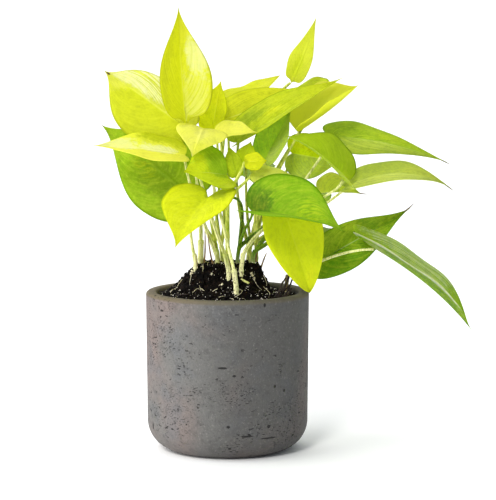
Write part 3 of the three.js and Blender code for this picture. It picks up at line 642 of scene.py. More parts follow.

# Each leaf's colours are its own tones with painted light in them: leaves that lie in shade are painted paler
# and brighter than they are, so that they come out as light as the lit ones
leaves = {
    "upright": {
        "base": (-31, -11, 248.5), "tip": (-37, 3, 338.5), "face": (-0.15, -1, 0.2), "width": 47,
        "droop": 12, "fold": (58, 6), "curl": (8, 8), "lobe": -0.07, "widest": 0.36, "full": 0.36,
        "sweep": -4, "color": (233, 233, 29), "second": (222, 227, 11), "shift": (0.4, 0, 0), "veins": 8,
        "left": (237, 241, 0), "crisp": 0.15, "blotch": 0.15,
        "tones_and_painted_light": (
            ((0.6, 0.85), (0.3, 0.3), 0.7, 0.2, (210, 213, 15)),
            ((0.15, 0.5), (0.2, 0.8), 0.6, 0, (241, 247, 15)),
            ((0.15, -0.5), (0.2, 0.8), 0.7, 0, (225, 230, 13)),
            ((0.42, -0.5), (0.24, 0.6), 0.7, 0.8, (255, 252, 150)),
            ((0.66, -0.72), (0.17, 0.5), 0.95, 0.35, (255, 253, 190)),
            ((0.88, -0.4), (0.12, 0.6), 0.9, 0, (223, 220, 41)),
            ((0.35, -0.12), (0.3, 0.12), 0.6, 0.3, (250, 250, 130)),
        ),
    },
    "fan": {
        "base": (-31, 9, 246), "tip": (-95, 19, 289.5), "face": (0.1, -1, 0.35), "width": 60, "droop": 14,
        "fold": (0, 52), "curl": (8, 10), "halves": (1.04, 0.78), "lobe": 0.06, "widest": 0.42,
        "full": 0.62, "color": (232, 233, 89), "second": (225, 228, 81), "shift": (0.45, 0.3, 0),
        "left": (208, 214, 4), "burn": 1, "crisp": 0.2, "veining": 0.5,
        "tones_and_painted_light": (
            ((0.9, 0.2), (0.14, 0.9), 0.7, 0.3, (243, 240, 114)),
            ((0.5, -0.45), (0.26, 0.6), 0.9, 0.6, (197, 203, 19)),
            ((0.62, -0.6), (0.36, 0.6), 1, 1, (255, 253, 225)),
            ((0.8, -0.6), (0.14, 0.4), 0.9, 0.4, (255, 252, 210)),
            ((0.3, 0.3), (0.15, 0.5), 0.5, 0, (224, 227, 22)),
            ((0.25, -0.7), (0.12, 0.5), 0.8, 0.3, (227, 230, 50)),
        ),
    },
    "pale_wing": {
        "base": (-32, -18, 227), "tip": (-101, -28, 235), "face": (0, -0.55, 0.83), "width": 44,
        "fold": (24, 4), "lobe": 0.03, "sweep": -4, "color": (244, 245, 76), "second": (244, 245, 69),
        "slot": "leaf_pale", "left": (252, 245, 110), "rim": "pale", "crisp": 0.15,
        "tones_and_painted_light": (
            ((0.15, 0.6), (0.18, 0.7), 0.6, 0.2, (240, 239, 110)),
            ((0.44, -0.06), (0.24, 0.34), 0.95, 0.1, (255, 253, 214)),
            ((0.84, -0.25), (0.26, 0.9), 0.95, 0.1, (255, 253, 200)),
            ((0.44, -0.85), (0.24, 0.46), 1, 0, (188, 198, 5)),
        ),
    },
    "broad_left": {
        "base": (-32, 8, 197), "tip": (-97, 16, 248), "face": (0.1, -1, 0.15), "width": 66, "droop": 10,
        "fold": (3, 12), "curl": (10, 14), "lobe": 0.14, "widest": 0.24, "sweep": 4,
        "color": (166, 204, 0), "second": (150, 191, 0), "shift": (0.5, 0, 0.2), "slot": "leaf_green",
        "blotch": 0.35, "veining": 0.7, "rib": 0.15,
        "tones_and_painted_light": (
            ((0.45, 0.2), (0.25, 0.5), 0.8, 0, (119, 153, 0)),
            ((0.42, 0.85), (0.2, 0.3), 0.6, 0.2, (143, 176, 0)),
            ((0.62, 0.2), (0.13, 0.24), 0.7, 1, (203, 208, 0)),
            ((0.9, 0.3), (0.12, 0.8), 0.6, 0, (152, 182, 0)),
        ),
    },
    "heart": {
        "base": (-15, -33, 196), "tip": (-38, -74, 163), "face": (-0.3, -0.9, 0.4), "width": 59,
        "droop": 22, "fold": (30, 14), "curl": (12, 12), "lobe": 0.19, "widest": 0.22,
        "color": (231, 236, 2), "second": (223, 230, 2), "shift": (0.4, -0.2, 0), "veins": 8,
        "slant": 0.5, "crisp": 0.25, "blotch": 0.3, "veining": 0.5, "rib": 0.25,
        "tones_and_painted_light": (
            ((0.27, 0.55), (0.22, 0.32), 0.85, 0, (147, 161, 19)),
            ((0.06, -0.2), (0.12, 0.7), 0.8, 0, (176, 188, 3)),
            ((0.78, 0), (0.24, 0.8), 0.6, 1, (234, 238, 42)),
            ((0.38, -0.12), (0.16, 0.12), 0.5, 0, (197, 207, 3)),
            ((0.55, 0.25), (0.2, 0.3), 0.5, 0.6, (207, 212, 53)),
        ),
    },
    "round_left": {
        "base": (0, -20, 211.5), "tip": (-33, -36, 216), "face": (0.1, -0.85, 0.5), "width": 52,
        "droop": 20, "fold": (46, 4), "curl": (14, 12), "lobe": 0.01, "widest": 0.44, "full": 0.5,
        "color": (186, 224, 0), "second": (176, 216, 0), "shift": (0.55, -0.6, -0.5),
        "left": (235, 238, 0), "crisp": 0.25, "blotch": 0.3, "veining": 0.6,
        "tones_and_painted_light": (
            ((1, 0.1), (0.52, 1.5), 1, 0, (253, 254, 0)),
            ((0.34, -0.2), (0.25, 0.6), 0.8, 0, (154, 192, 0)),
            ((0.38, 0.85), (0.18, 0.25), 0.6, 0.7, (226, 226, 60)),
        ),
    },
    "cream": {
        "base": (-18, -18, 247), "tip": (-26, -38, 227), "face": (-0.2, -1, 0), "width": 40, "droop": 18,
        "fold": (6, 6), "lobe": 0.06, "widest": 0.12, "full": 0.3, "color": (250, 247, 130),
        "second": (242, 241, 110), "veins": 7, "speck": 0.3, "burn": 0.2, "slot": "leaf_pale",
        "left": (240, 238, 109), "rim": "pale", "crisp": 0.2, "blotch": 0.3, "veining": 0.5,
        "tones_and_painted_light": (
            ((0.35, 0), (0.3, 0.5), 0.7, 0.2, (252, 246, 150)),
            ((0.85, 0.3), (0.2, 0.8), 0.6, 0.2, (226, 227, 56)),
            ((0.3, -0.95), (0.3, 0.2), 0.7, 0, (221, 224, 34)),
        ),
    },
    "butter": {
        "base": (-8, -5, 242), "tip": (23, -12, 244), "face": (0, -0.45, 0.9), "width": 30, "droop": 0,
        "fold": (20, 25), "widest": 0.32, "color": (252, 248, 110), "second": (250, 252, 84), "veins": 6,
        "burn": 0.1, "slot": "leaf_pale", "crisp": 0.25,
        "tones_and_painted_light": (
            ((0.45, 0.45), (0.3, 0.4), 0.6, 0.2, (252, 244, 120)),
        ),
    },
    "blade_up": {
        "base": (48.8, 36, 279), "tip": (69, 46, 331), "face": (0.6, -0.8, 0.1), "width": 23, "droop": 8,
        "fold": (14, 14), "curl": (6, 6), "halves": (1.12, 0.86), "lobe": -0.04, "widest": 0.26,
        "full": 0.3, "sweep": 4, "color": (242, 246, 81), "second": (231, 237, 63),
        "shift": (0.5, -0.3, 0),
        "tones_and_painted_light": (
            ((0.4, 0.1), (0.2, 0.5), 0.7, 0.1, (218, 230, 21)),
            ((0.1, 0), (0.14, 1), 0.6, 0.3, (249, 247, 84)),
            ((0.5, -0.8), (0.4, 0.2), 0.5, 0.3, (248, 249, 84)),
        ),
    },
    "top_band": {
        "base": (-4, 54, 266), "tip": (41, 58, 284), "face": (0, -0.25, 0.97), "width": 32, "droop": -28,
        "widest": 0.4, "full": 0.5, "blunt": 0.3, "color": (222, 224, 7), "second": (212, 217, 4),
        "tones_and_painted_light": (
            ((0.85, 0.2), (0.2, 1), 0.7, 0.2, (226, 226, 50)),
        ),
    },
    "veil": {
        "base": (-4, 25, 251), "tip": (65, 30, 276), "face": (0.2, 0.9, -0.3), "width": 36, "droop": 10,
        "curl": (8, 8), "lobe": 0.1, "widest": 0.3, "color": (225, 230, 40), "second": (211, 216, 40),
        "speck": 0.3, "veining": 0.8, "slant": 1.2, "crisp": 0.15,
        "tones_and_painted_light": (
            ((0.6, -0.7), (0.5, 0.3), 0.6, 0.8, (243, 244, 44)),
        ),
    },
    "sprout_top": {
        "base": (-12, 14, 244), "tip": (-5, 22, 282), "face": (0.1, -1, 0.1), "width": 27, "droop": 8,
        "curl": (8, 8), "halves": (1, 0.62), "lobe": 0.06, "widest": 0.4, "color": (249, 252, 0),
        "second": (246, 252, 0), "shift": (0.5, -0.3, 0), "veins": 7, "blotch": 0.35, "veining": 0.8,
        "tones_and_painted_light": (
            ((0.45, 0.1), (0.2, 0.5), 0.7, 0.1, (237, 245, 1)),
            ((0.8, 0), (0.2, 1), 0.5, 0.2, (249, 243, 12)),
        ),
    },
    "long_lime": {
        "base": (8, 6, 235), "tip": (89, 8, 285), "face": (-0.3, -0.65, 0.7), "width": 44, "droop": 2,
        "fold": (16, 42), "curl": (8, 8), "halves": (1, 0.85), "lobe": 0.06, "full": 0.34,
        "color": (207, 220, 0), "second": (190, 208, 0), "shift": (0.4, -0.8, 0), "slant": 1.2,
        "veining": 0.8, "crisp": 0.25, "blotch": 0.35,
        "tones_and_painted_light": (
            ((0.12, 0), (0.3, 1.4), 0.9, 0, (140, 179, 0)),
            ((0.4, 0.65), (0.14, 0.3), 0.8, 0, (143, 177, 0)),
            ((0.56, 0.75), (0.14, 0.2), 0.8, 0.4, (220, 227, 0)),
            ((0.53, 0.36), (0.07, 0.12), 1, 0.3, (250, 248, 0)),
            ((0.6, -0.5), (0.12, 0.5), 0.8, 0.6, (184, 201, 0)),
            ((0.66, 0.25), (0.2, 0.15), 0.7, 0.6, (214, 221, 0)),
            ((0.9, 0), (0.2, 1.2), 0.7, 0.3, (227, 233, 0)),
        ),
    },
    "behind_lime": {
        "base": (70, 46, 268), "tip": (45, 70, 268), "face": (0, -0.7, 0.7), "width": 42, "droop": 20,
        "lobe": 0.1, "widest": 0.3, "color": (196, 209, 9), "second": (186, 201, 5),
    },
    "folded_top": {
        "base": (54, 6, 243), "tip": (100, 8, 279), "face": (-0.57, -0.33, 0.75), "width": 54,
        "droop": -14, "fold": (37, 37), "curl": (6, 6), "lobe": 0.02, "widest": 0.52, "full": 0.6,
        "color": (244, 244, 110), "second": (214, 221, 100), "veining": 0.7, "slant": 0.9,
        "left": (254, 250, 140), "rim": "pale", "crisp": 0.25, "through": 0.85, "blotch": 0.1,
        "tones_and_painted_light": (
            ((0.8, 0.7), (0.25, 0.4), 0.9, 0.4, (252, 240, 110)),
            ((0.14, -0.5), (0.16, 0.7), 0.9, 0.1, (242, 234, 21)),
            ((0.36, -0.6), (0.05, 0.6), 0.8, 0.2, (242, 234, 70)),
            ((0.74, -0.45), (0.18, 0.6), 0.9, 0.6, (242, 234, 126)),
            ((0.64, -0.16), (0.14, 0.12), 0.8, 0.5, (242, 234, 177)),
        ),
    },
    "saddle": {
        "base": (88, -16, 208), "tip": (43, -20, 242), "face": (0.45, -0.75, 0.5), "width": 54,
        "droop": 46, "fold": (62, 4), "curl": (20, 20), "halves": (1, 1.1), "lobe": 0.1, "widest": 0.32,
        "color": (187, 216, 0), "second": (177, 206, 0), "shift": (0.5, 0.2, 0), "left": (233, 251, 73),
        "crisp": 0.15, "veining": 0.3,
        "tones_and_painted_light": (
            ((0.3, 0.7), (0.25, 0.3), 0.8, 0.4, (243, 242, 87)),
            ((0.4, -0.6), (0.25, 0.35), 0.6, 0.2, (167, 197, 0)),
            ((0.8, -0.3), (0.2, 0.8), 0.5, 0.1, (195, 223, 0)),
            ((0.12, -0.1), (0.12, 0.8), 0.6, 0.2, (214, 230, 0)),
        ),
    },
    "shade_fold": {
        "base": (29, 14, 221), "tip": (49, 16, 261), "face": (0.3, -0.9, 0.2), "width": 34, "droop": 4,
        "fold": (15, 78), "curl": (8, 8), "lobe": 0.06, "widest": 0.4, "color": (216, 234, 110),
        "second": (194, 222, 110), "slot": "leaf_green", "left": (180, 239, 43), "crisp": 0.4,
        "blotch": 0.45, "veining": 1.3,
        "tones_and_painted_light": (
            ((0.3, -0.15), (0.2, 0.3), 0.8, 0.2, (214, 226, 130)),
            ((0.4, -0.5), (0.22, 0.3), 0.9, 0.8, (214, 224, 160)),
            ((0.35, 0.7), (0.16, 0.3), 0.7, 0, (126, 211, 43)),
        ),
    },
    "butter_small": {
        "base": (13, -18, 222), "tip": (30, -17, 223), "face": (0.1, -1, 0.2), "width": 14, "droop": 10,
        "fold": (8, 8), "curl": (8, 8), "lobe": 0, "widest": 0.55, "full": 0.3, "wave": (0.4, 2, 0),
        "color": (242, 244, 0), "second": (240, 241, 0), "shift": (0.4, 0, 0), "veins": 5, "burn": 0.1,
        "slot": "leaf_pale",
        "tones_and_painted_light": (
            ((0.1, 0), (0.25, 1.2), 0.9, 0.1, (189, 199, 0)),
        ),
    },
    "olive_low": {
        "base": (19, -9, 213), "tip": (51, -5, 211), "face": (0.1, 0.55, -0.8), "width": 24, "droop": -10,
        "fold": (12, 12), "curl": (8, 8), "lobe": 0.06, "color": (238, 245, 110),
        "second": (222, 233, 110), "speck": 0.4,
        "tones_and_painted_light": (
            ((0.5, -0.3), (0.4, 0.4), 0.6, 1, (252, 244, 110)),
        ),
    },
    "centre_right": {
        "base": (12, -3, 219), "tip": (18, -3, 237), "face": (0.2, -1, 0.2), "width": 16, "droop": 6,
        "fold": (15, 15), "curl": (8, 8), "lobe": 0.05, "widest": 0.4, "color": (229, 244, 0),
        "second": (208, 224, 0), "veins": 6, "burn": 0.2,
    },
    "centre_left": {
        "base": (7, -10, 211), "tip": (1, -8, 234), "face": (-0.1, -1, 0.2), "width": 14, "droop": 6,
        "fold": (15, 15), "curl": (8, 8), "lobe": 0.05, "widest": 0.4, "color": (204, 222, 0),
        "second": (192, 213, 0), "veins": 6, "burn": 0.2,
        "tones_and_painted_light": (
            ((0.4, 0.5), (0.3, 0.3), 0.7, 0.6, (226, 242, 0)),
            ((0.5, 0.9), (0.2, 0.2), 0.6, 0, (142, 187, 0)),
        ),
    },
    "reach_upper": {
        "base": (83, 24, 238), "tip": (170, 26, 218), "face": (-0.1, -0.5, 0.86), "width": 42,
        "droop": 20, "fold": (9, 8), "lobe": 0.12, "widest": 0.14, "full": 0.24, "color": (190, 212, 82),
        "second": (176, 202, 63), "shift": (0.5, 0, -0.5), "slot": "leaf_green", "veining": 1.3,
        "slant": 1.2, "veins": 10, "left": (170, 212, 14), "blotch": 0.3,
        "tones_and_painted_light": (
            ((0.7, 0.5), (0.2, 0.4), 0.7, 0.3, (215, 240, 23)),
            ((0.55, -0.35), (0.4, 0.5), 0.7, 1, (229, 242, 106)),
            ((0.1, 0), (0.14, 1.2), 0.7, 0, (170, 210, 21)),
            ((0.34, 0.6), (0.14, 0.4), 0.6, 0, (160, 211, 23)),
        ),
    },
    "reach_lower": {
        "base": (91, -2, 202), "tip": (171, 2, 200), "face": (-0.05, -0.4, 0.9), "width": 44, "droop": 62,
        "fold": (6, 14), "curl": (8, 8), "halves": (1, 0.7), "lobe": 0.06, "widest": 0.4,
        "color": (212, 224, 110), "second": (200, 215, 110), "shift": (0.5, 0, -0.5),
        "slot": "leaf_green", "veining": 1.3, "slant": 1.2, "veins": 10, "left": (175, 195, 86),
        "rim": "pale", "crisp": 0.25,
        "tones_and_painted_light": (
            ((0.78, 0.45), (0.16, 0.6), 0.8, 0.6, (217, 223, 95)),
            ((0.5, -0.4), (0.4, 0.6), 0.8, 1, (242, 248, 136)),
            ((0.35, 0), (0.2, 0.3), 0.6, 0.3, (209, 220, 110)),
            ((0.3, -0.8), (0.14, 0.2), 0.7, 0.5, (237, 248, 107)),
        ),
    },
    "olive_tip": {
        "base": (71, 26, 195), "tip": (104, 24, 194), "face": (0.1, 0.5, -0.86), "width": 32,
        "droop": -20, "fold": (-30, -25), "widest": 0.3, "color": (232, 240, 110),
        "second": (220, 234, 110), "slot": "leaf_green", "crisp": 0.35, "veining": 0.9,
        "tones_and_painted_light": (
            ((0.5, -0.9), (0.4, 0.25), 0.6, 0.5, (226, 218, 110)),
        ),
    },
    "olive_round": {
        "base": (50, 30, 225), "tip": (90, 34, 218), "face": (0.1, 0.9, -0.4), "width": 38, "droop": 10,
        "lobe": 0.12, "widest": 0.25, "color": (237, 249, 28), "second": (232, 249, 28),
        "slot": "leaf_green", "slant": 0.5, "left": (165, 184, 110), "crisp": 0.35, "blotch": 0.3,
        "veining": 0.8,
        "tones_and_painted_light": (
            ((0.5, -0.45), (0.35, 0.25), 0.8, 0.2, (245, 239, 40)),
        ),
    },
    "big_front": {
        "base": (19, -36, 186), "tip": (88, -48, 172), "face": (0.05, -0.6, 0.8), "width": 72,
        "droop": 30, "fold": (24, 46), "curl": (14, 14), "lobe": 0.1, "widest": 0.32, "full": 0.46,
        "color": (142, 196, 0), "second": (135, 190, 0), "veins": 10, "slot": "leaf_green", "crisp": 0.2,
        "blotch": 0.25, "veining": 0.55, "rib": 0.3,
        "tones_and_painted_light": (
            ((0.2, 0.2), (0.235, 1.4), 1, 0, (66, 136, 0)),
            ((0.26, 0.35), (0.12, 0.35), 0.8, 0, (38, 107, 0)),
            ((0.72, 0.35), (0.14, 0.45), 0.9, 1, (199, 227, 0)),
            ((0.5, 0.75), (0.2, 0.2), 0.6, 0.3, (153, 203, 0)),
            ((0.6, -0.6), (0.4, 0.5), 0.5, 0.4, (147, 199, 0)),
        ),
    },
    "hanging": {
        "base": (42, -20, 187.2), "tip": (62.5, -18, 122.5), "face": (0.1, -0.95, 0.3), "width": 54,
        "droop": 18, "fold": (16, 42), "curl": (12, 12), "halves": (0.92, 1.05), "lobe": 0.1,
        "widest": 0.26, "full": 0.25, "blunt": 0.4, "color": (240, 247, 0), "second": (235, 245, 0),
        "shift": (0.5, 0, 0.2), "veining": 0.4, "slant": 0.6, "rim": "pale", "crisp": 0.2, "blotch": 0.25,
        "rib": 0.4,
        "tones_and_painted_light": (
            ((0.86, 0.5), (0.12, 0.4), 0.8, 0.9, (244, 237, 22)),
            ((0.25, 0.7), (0.2, 0.4), 0.6, 0, (197, 227, 1)),
            ((0.97, -0.3), (0.06, 0.6), 0.5, 0, (204, 212, 5)),
        ),
    },
    "dark_low": {
        "base": (69, 16, 142), "tip": (142, 28, 183), "face": (0.2, -0.9, 0.4), "width": 46, "droop": -14,
        "fold": (54, 34), "curl": (8, 8), "lobe": 0.12, "widest": 0.24, "color": (124, 179, 0),
        "second": (110, 166, 0), "shift": (0.5, 0, 0.2), "slot": "leaf_green", "left": (159, 196, 0),
        "crisp": 0.4, "blotch": 0.45, "rib": 0.9, "veining": 1.2, "ribWidth": 0.06,
        "tones_and_painted_light": (
            ((0.42, -0.6), (0.2, 0.4), 0.8, 0.2, (116, 191, 10)),
            ((0.72, 0.45), (0.14, 0.6), 0.8, 0.2, (126, 173, 24)),
            ((0.6, 0.75), (0.06, 0.3), 0.7, 0.7, (207, 232, 24)),
            ((0.93, 0), (0.08, 1), 0.6, 0.2, (134, 173, 10)),
        ),
    },
    "weeping": {
        "base": (112, -6, 155), "tip": (188, 4, 90), "face": (0.62, -0.27, 0.73), "width": 46,
        "droop": 22, "fold": (22, 36), "curl": (6, 6), "lobe": 0.22, "widest": 0.5, "full": 0.68,
        "color": (134, 188, 10), "second": (118, 180, 0), "shift": (0.5, 0, 0.7), "slot": "leaf_green",
        "veining": 0.9, "slant": 1.5, "left": (148, 194, 24), "rim": "pale", "crisp": 0.35, "blotch": 0.4,
        "rib": 0.8, "ribWidth": 0.1,
        "tones_and_painted_light": (
            ((0.42, -0.95), (0.42, 0.22), 1, 0, (252, 253, 225)),
            ((0.5, -0.58), (0.4, 0.18), 0.6, 0, (96, 150, 0)),
            ((0.48, 0.7), (0.24, 0.6), 0.9, 0.9, (240, 244, 196)),
            ((0.36, 0.2), (0.2, 0.3), 0.7, 0.6, (226, 232, 160)),
            ((0.9, 0.2), (0.3, 1.3), 0.6, 0, (112, 176, 0)),
            ((0.2, -0.3), (0.18, 0.5), 0.8, 0.3, (214, 224, 140)),
        ),
    },
    "back_left": {
        "base": (-24, 32, 222), "tip": (-68, 72, 202), "face": (-0.3, 0.3, 0.9), "width": 50, "droop": 25,
        "color": (176, 202, 34), "second": (146, 180, 24),
    },
    "back_top": {
        "base": (-2, 49, 245), "tip": (-17, 96, 240), "face": (-0.1, 0.4, 0.9), "width": 44, "droop": 25,
        "color": (204, 222, 36), "second": (166, 196, 24),
    },
    "back_right": {
        "base": (46, 36, 194), "tip": (76, 84, 174), "face": (0.2, 0.4, 0.9), "width": 50, "droop": 25,
        "color": (206, 231, 0), "second": (156, 196, 0), "slot": "leaf_green",
    },
    "back_low_right": {
        "base": (52, 34, 168), "tip": (84, 70, 150), "face": (0.3, 0.4, 0.9), "width": 44, "droop": 20,
        "color": (140, 180, 24), "second": (104, 150, 16), "slot": "leaf_green",
    },
    "back_low_left": {
        "base": (-30, 26, 190), "tip": (-58, 60, 182), "face": (-0.3, 0.4, 0.9), "width": 36, "droop": 25,
        "color": (150, 190, 28), "second": (116, 164, 18), "slot": "leaf_green",
    },
    "back_centre": {
        "base": (14, 38, 214), "tip": (20, 90, 196), "face": (0, 0.4, 0.9), "width": 44, "droop": 30,
        "color": (184, 212, 36), "second": (146, 186, 24),
    },
}


# Half outline from the sinus round the lobe to the tip, in shares of the length: three Bezier
# curves end to end
def halfOutline(leaf, w, t):
    lobe, widest, full, blunt = (leaf[key] for key in ("lobe", "widest", "full", "blunt"))
    back, side = (-lobe, 0.45 * w), (widest, w)
    beyond = 1 - widest
    low, high = blade["lobeShare"], blade["shoulderShare"]
    first = bezier((0, 0), (-0.6 * lobe, 0.08 * w), (-lobe, 0.22 * w), back, t / low)
    second = bezier(back, (-lobe, 0.8 * w), ((widest - lobe) / 2, w), side, (t - low) / (high - low))
    late = (1 - 0.3 * beyond * (1 - blunt), (0.08 + blunt) * w)
    third = bezier(side, (widest + full * beyond, w), late, (1, 0), (t - high) / (1 - high))
    t = t[:, None]
    return np.where(t <= low, first, np.where(t <= high, second, third))


# Frame of the midrib: a line bent by droop and sweep, turned and sized to run from base to tip
# with the upper face towards face. turn takes vectors from the line's own axes to the part's.
def midribOf(leaf):
    base, tip = (millimetre * np.array(leaf[key], float) for key in ("base", "tip"))
    count = blade["midribSteps"]

    def heading(u):
        down = math.radians(leaf["droop"]) * u ** blade["droopPower"]
        aside = math.radians(leaf["sweep"]) * u
        ahead = [np.cos(down) * np.cos(aside), np.cos(down) * np.sin(aside), -np.sin(down)]
        above = [np.sin(down) * np.cos(aside), np.sin(down) * np.sin(aside), np.cos(down)]
        return np.stack(ahead, -1), np.stack(above, -1)

    middle = (np.arange(count) + 0.5) / count
    line = np.concatenate([np.zeros((1, 3)), np.cumsum(heading(middle)[0] / count, axis=0)])
    length = np.linalg.norm(tip - base) / np.linalg.norm(line[-1])
    ahead = unitOf(line[-1])
    normal = unitOf(np.array([0, 0, 1.0]) - ahead * ahead[2])
    own = np.stack([ahead, normal, np.cross(normal, ahead)])
    worldAhead = unitOf(tip - base)
    face = np.array(leaf["face"], float)
    worldNormal = unitOf(face - worldAhead * (face @ worldAhead))
    world = np.stack([worldAhead, worldNormal, np.cross(worldNormal, worldAhead)])
    turn = own.T @ world
    stops = np.linspace(0, 1, count + 1)

    def along(u):
        return length * np.stack([np.interp(u, stops, line[:, k]) for k in range(3)], -1)

    return {"base": base, "length": length, "along": along, "heading": heading, "turn": turn}


# Middle surface of a blade over t, from the sinus round to the tip, and side, from -1 on the
# right margin to 1 on the left one: the midrib's point, plus the way across the half folded up
# by fold and bent back down by curl, plus the margin's wave.
def bladeMiddle(leaf, t, side):
    midrib = midribOf(leaf)
    length, halfWidth = midrib["length"], millimetre * leaf["width"] / 2
    edge = halfOutline(leaf, halfWidth / length, t)
    rib = (t ** blade["ribPower"])[:, None]
    share = np.abs(side)[None]
    u = rib + share * (edge[:, :1] - rib)
    isLeft = (side > 0)[None]
    out = share * edge[:, 1:] * length * np.where(isLeft, *leaf["halves"])
    inside = np.clip(u, 0, 1)
    ahead, normal = midrib["heading"](inside)
    left = np.cross(normal, ahead)
    centre = midrib["along"](inside) + ahead * (np.minimum(u, 0) * length)[..., None]
    fold = np.radians(np.where(isLeft, leaf["fold"][0], leaf["fold"][1]))
    bend = np.radians(np.where(isLeft, leaf["curl"][0], leaf["curl"][1])) / halfWidth
    bend = np.where(bend == 0, 1e-3, bend)
    across = (np.sin(fold) - np.sin(fold - bend * out)) / bend
    height, count, phase = leaf["wave"]
    swing = 2 * np.pi * count * u + math.radians(phase) + np.where(isLeft, 0, 1.7)
    wave = millimetre * height * (out / halfWidth) ** 2 * np.sin(swing)
    up = (np.cos(fold - bend * out) - np.cos(fold)) / bend + wave
    hand = np.where(isLeft, 1, -1)
    local = centre + left * (hand * across)[..., None] + normal * up[..., None]
    return local @ midrib["turn"] + midrib["base"], out, inside


# Normals of a grid of points; at the sinus and the tip, where a row is one point, its
# neighbour's are used
def gridNormals(points):
    normals = unitOf(np.cross(np.gradient(points, axis=0), np.gradient(points, axis=1)))
    normals[0], normals[-1] = normals[1], normals[-2]
    return normals


# The blade's two faces, set off from the middle by half the thickness, which thins to the
# margin, with a groove over the midrib and a rib under it
def makeBlade(name, leaf):
    t = np.linspace(0, 1, blade["rows"] + 1)
    spread = np.linspace(-1, 1, 2 * blade["columns"] + 1)
    side = np.sign(spread) * np.abs(spread) ** blade["crowding"]
    middle, out, u = bladeMiddle(leaf, t, side)
    normals = -gridNormals(middle)
    share = np.abs(side)[None]
    ends = np.sin(np.pi * np.clip(t, 0, 1))[:, None] ** 0.3
    half = 0.5 * blade["thickness"] * (1 - (1 - blade["edgeShare"]) * share**5) * ends
    groove = blade["grooveDepth"] * np.exp(-((out / blade["ribWidth"]) ** 2))
    girth = blade["ribWidth"] * (1 - 0.6 * u)
    rib = blade["ribHeight"] * (1 - 0.8 * u) * np.exp(-((out / girth) ** 2)) * ends
    upper = middle + normals * (half - groove * ends)[..., None]
    lower = middle - normals * (half + rib)[..., None]
    ring = np.concatenate([upper, lower[:, ::-1]], axis=1)
    columns = ring.shape[1]
    marks = {
        "along": np.repeat(t, columns),
        "across": np.tile(np.concatenate([side, side[::-1]]), len(t)),
        "under": np.tile(np.concatenate([np.zeros(len(side)), np.ones(len(side))]), len(t)),
    }
    faces = gridFaces(len(t), columns)
    piece = makePiece("blade_" + name, ring.reshape(-1, 3), faces, leafFinish(name, leaf), marks)
    closeSeams(piece)
    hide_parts("leaf_" + name)


# The blade's own colour: the first runs into the second where shift and the cloud are high, and the left half
# may have a colour of its own, which is partly painted light where the fold turns the halves differently to
# the light
def groundColor(finish, leaf, along, across, cloud):
    start, tipward, leftward = leaf["shift"]
    mask = finish.step(start + (along - 0.5) * tipward + across * leftward + (cloud - 0.5) * 0.9, 0.3, 0.9)
    color = finish.mix(mask, paint(*leaf["color"]), paint(*leaf["second"]))
    # The left half's colour, partly painted light: the fold turns the two halves differently to the light
    if leaf["left"]:
        color = finish.mix(finish.step(across, -0.02, 0.02) * 0.92, color, paint(*leaf["left"]))
    return color


# Patches of other colours, partly the leaf's own tones and partly painted light: painted highlights, broken
# into streaks where they stand for the shine along the veins, and painted shadows where other leaves shade
# the blade. Each covers the places whose offset from its middle, in shares of its reach and girth, is shorter
# than 1, with noise for a ragged rim; some show only in the streaks
def addTonesAndPaintedLight(finish, leaf, color, along, across, ragged, streaks):
    broken = finish.step(streaks, 0.44, 0.54)
    for (at, beside), (reach, girth), strength, breaks, tint in leaf["tones_and_painted_light"]:
        offset = finish.node("CombineXYZ", {}, {0: (along - at) / reach, 1: (across - beside) / girth})
        near = 1 - finish.step(finish.vectorLength(offset) + ragged * 1.1, 0.55, 0.98)
        # Each patch mixes in its colour: some are the leaf's own tones, some painted highlights and painted
        # shadows
        color = finish.mix(near * (broken * breaks + (1 - breaks)) * strength, color, paint(*tint))
    return color


# The underside's bloom, the rim, dark as partly painted shade along the edge, brown spots and the burnt tip,
# over the veined colour
def addEdges(finish, leaf, color, place, along, out, under, mottle, pale, deep):
    bloom = finish.mix(0.5, color, blade["underside"])
    color = finish.mix(under * 0.35, color, bloom)
    # The margin: where dark, partly painted shade along the leaf's edge
    rim = finish.step(out, 0.94, 0.985)
    color = finish.mix(rim * 0.8, color, deep if leaf["rim"] == "dark" else pale)
    spots = finish.step(finish.noise(place, *blade["spots"]), 0.74, 0.78)
    color = finish.mix(spots * leaf["speck"] * 0.6, color, blade["spot"])
    if leaf["burn"]:
        burn = finish.step(along + (mottle - 0.5) * 0.02, 0.97, 0.99) * leaf["burn"]
        color = finish.mix(burn, color, blade["burnt"])
    return color
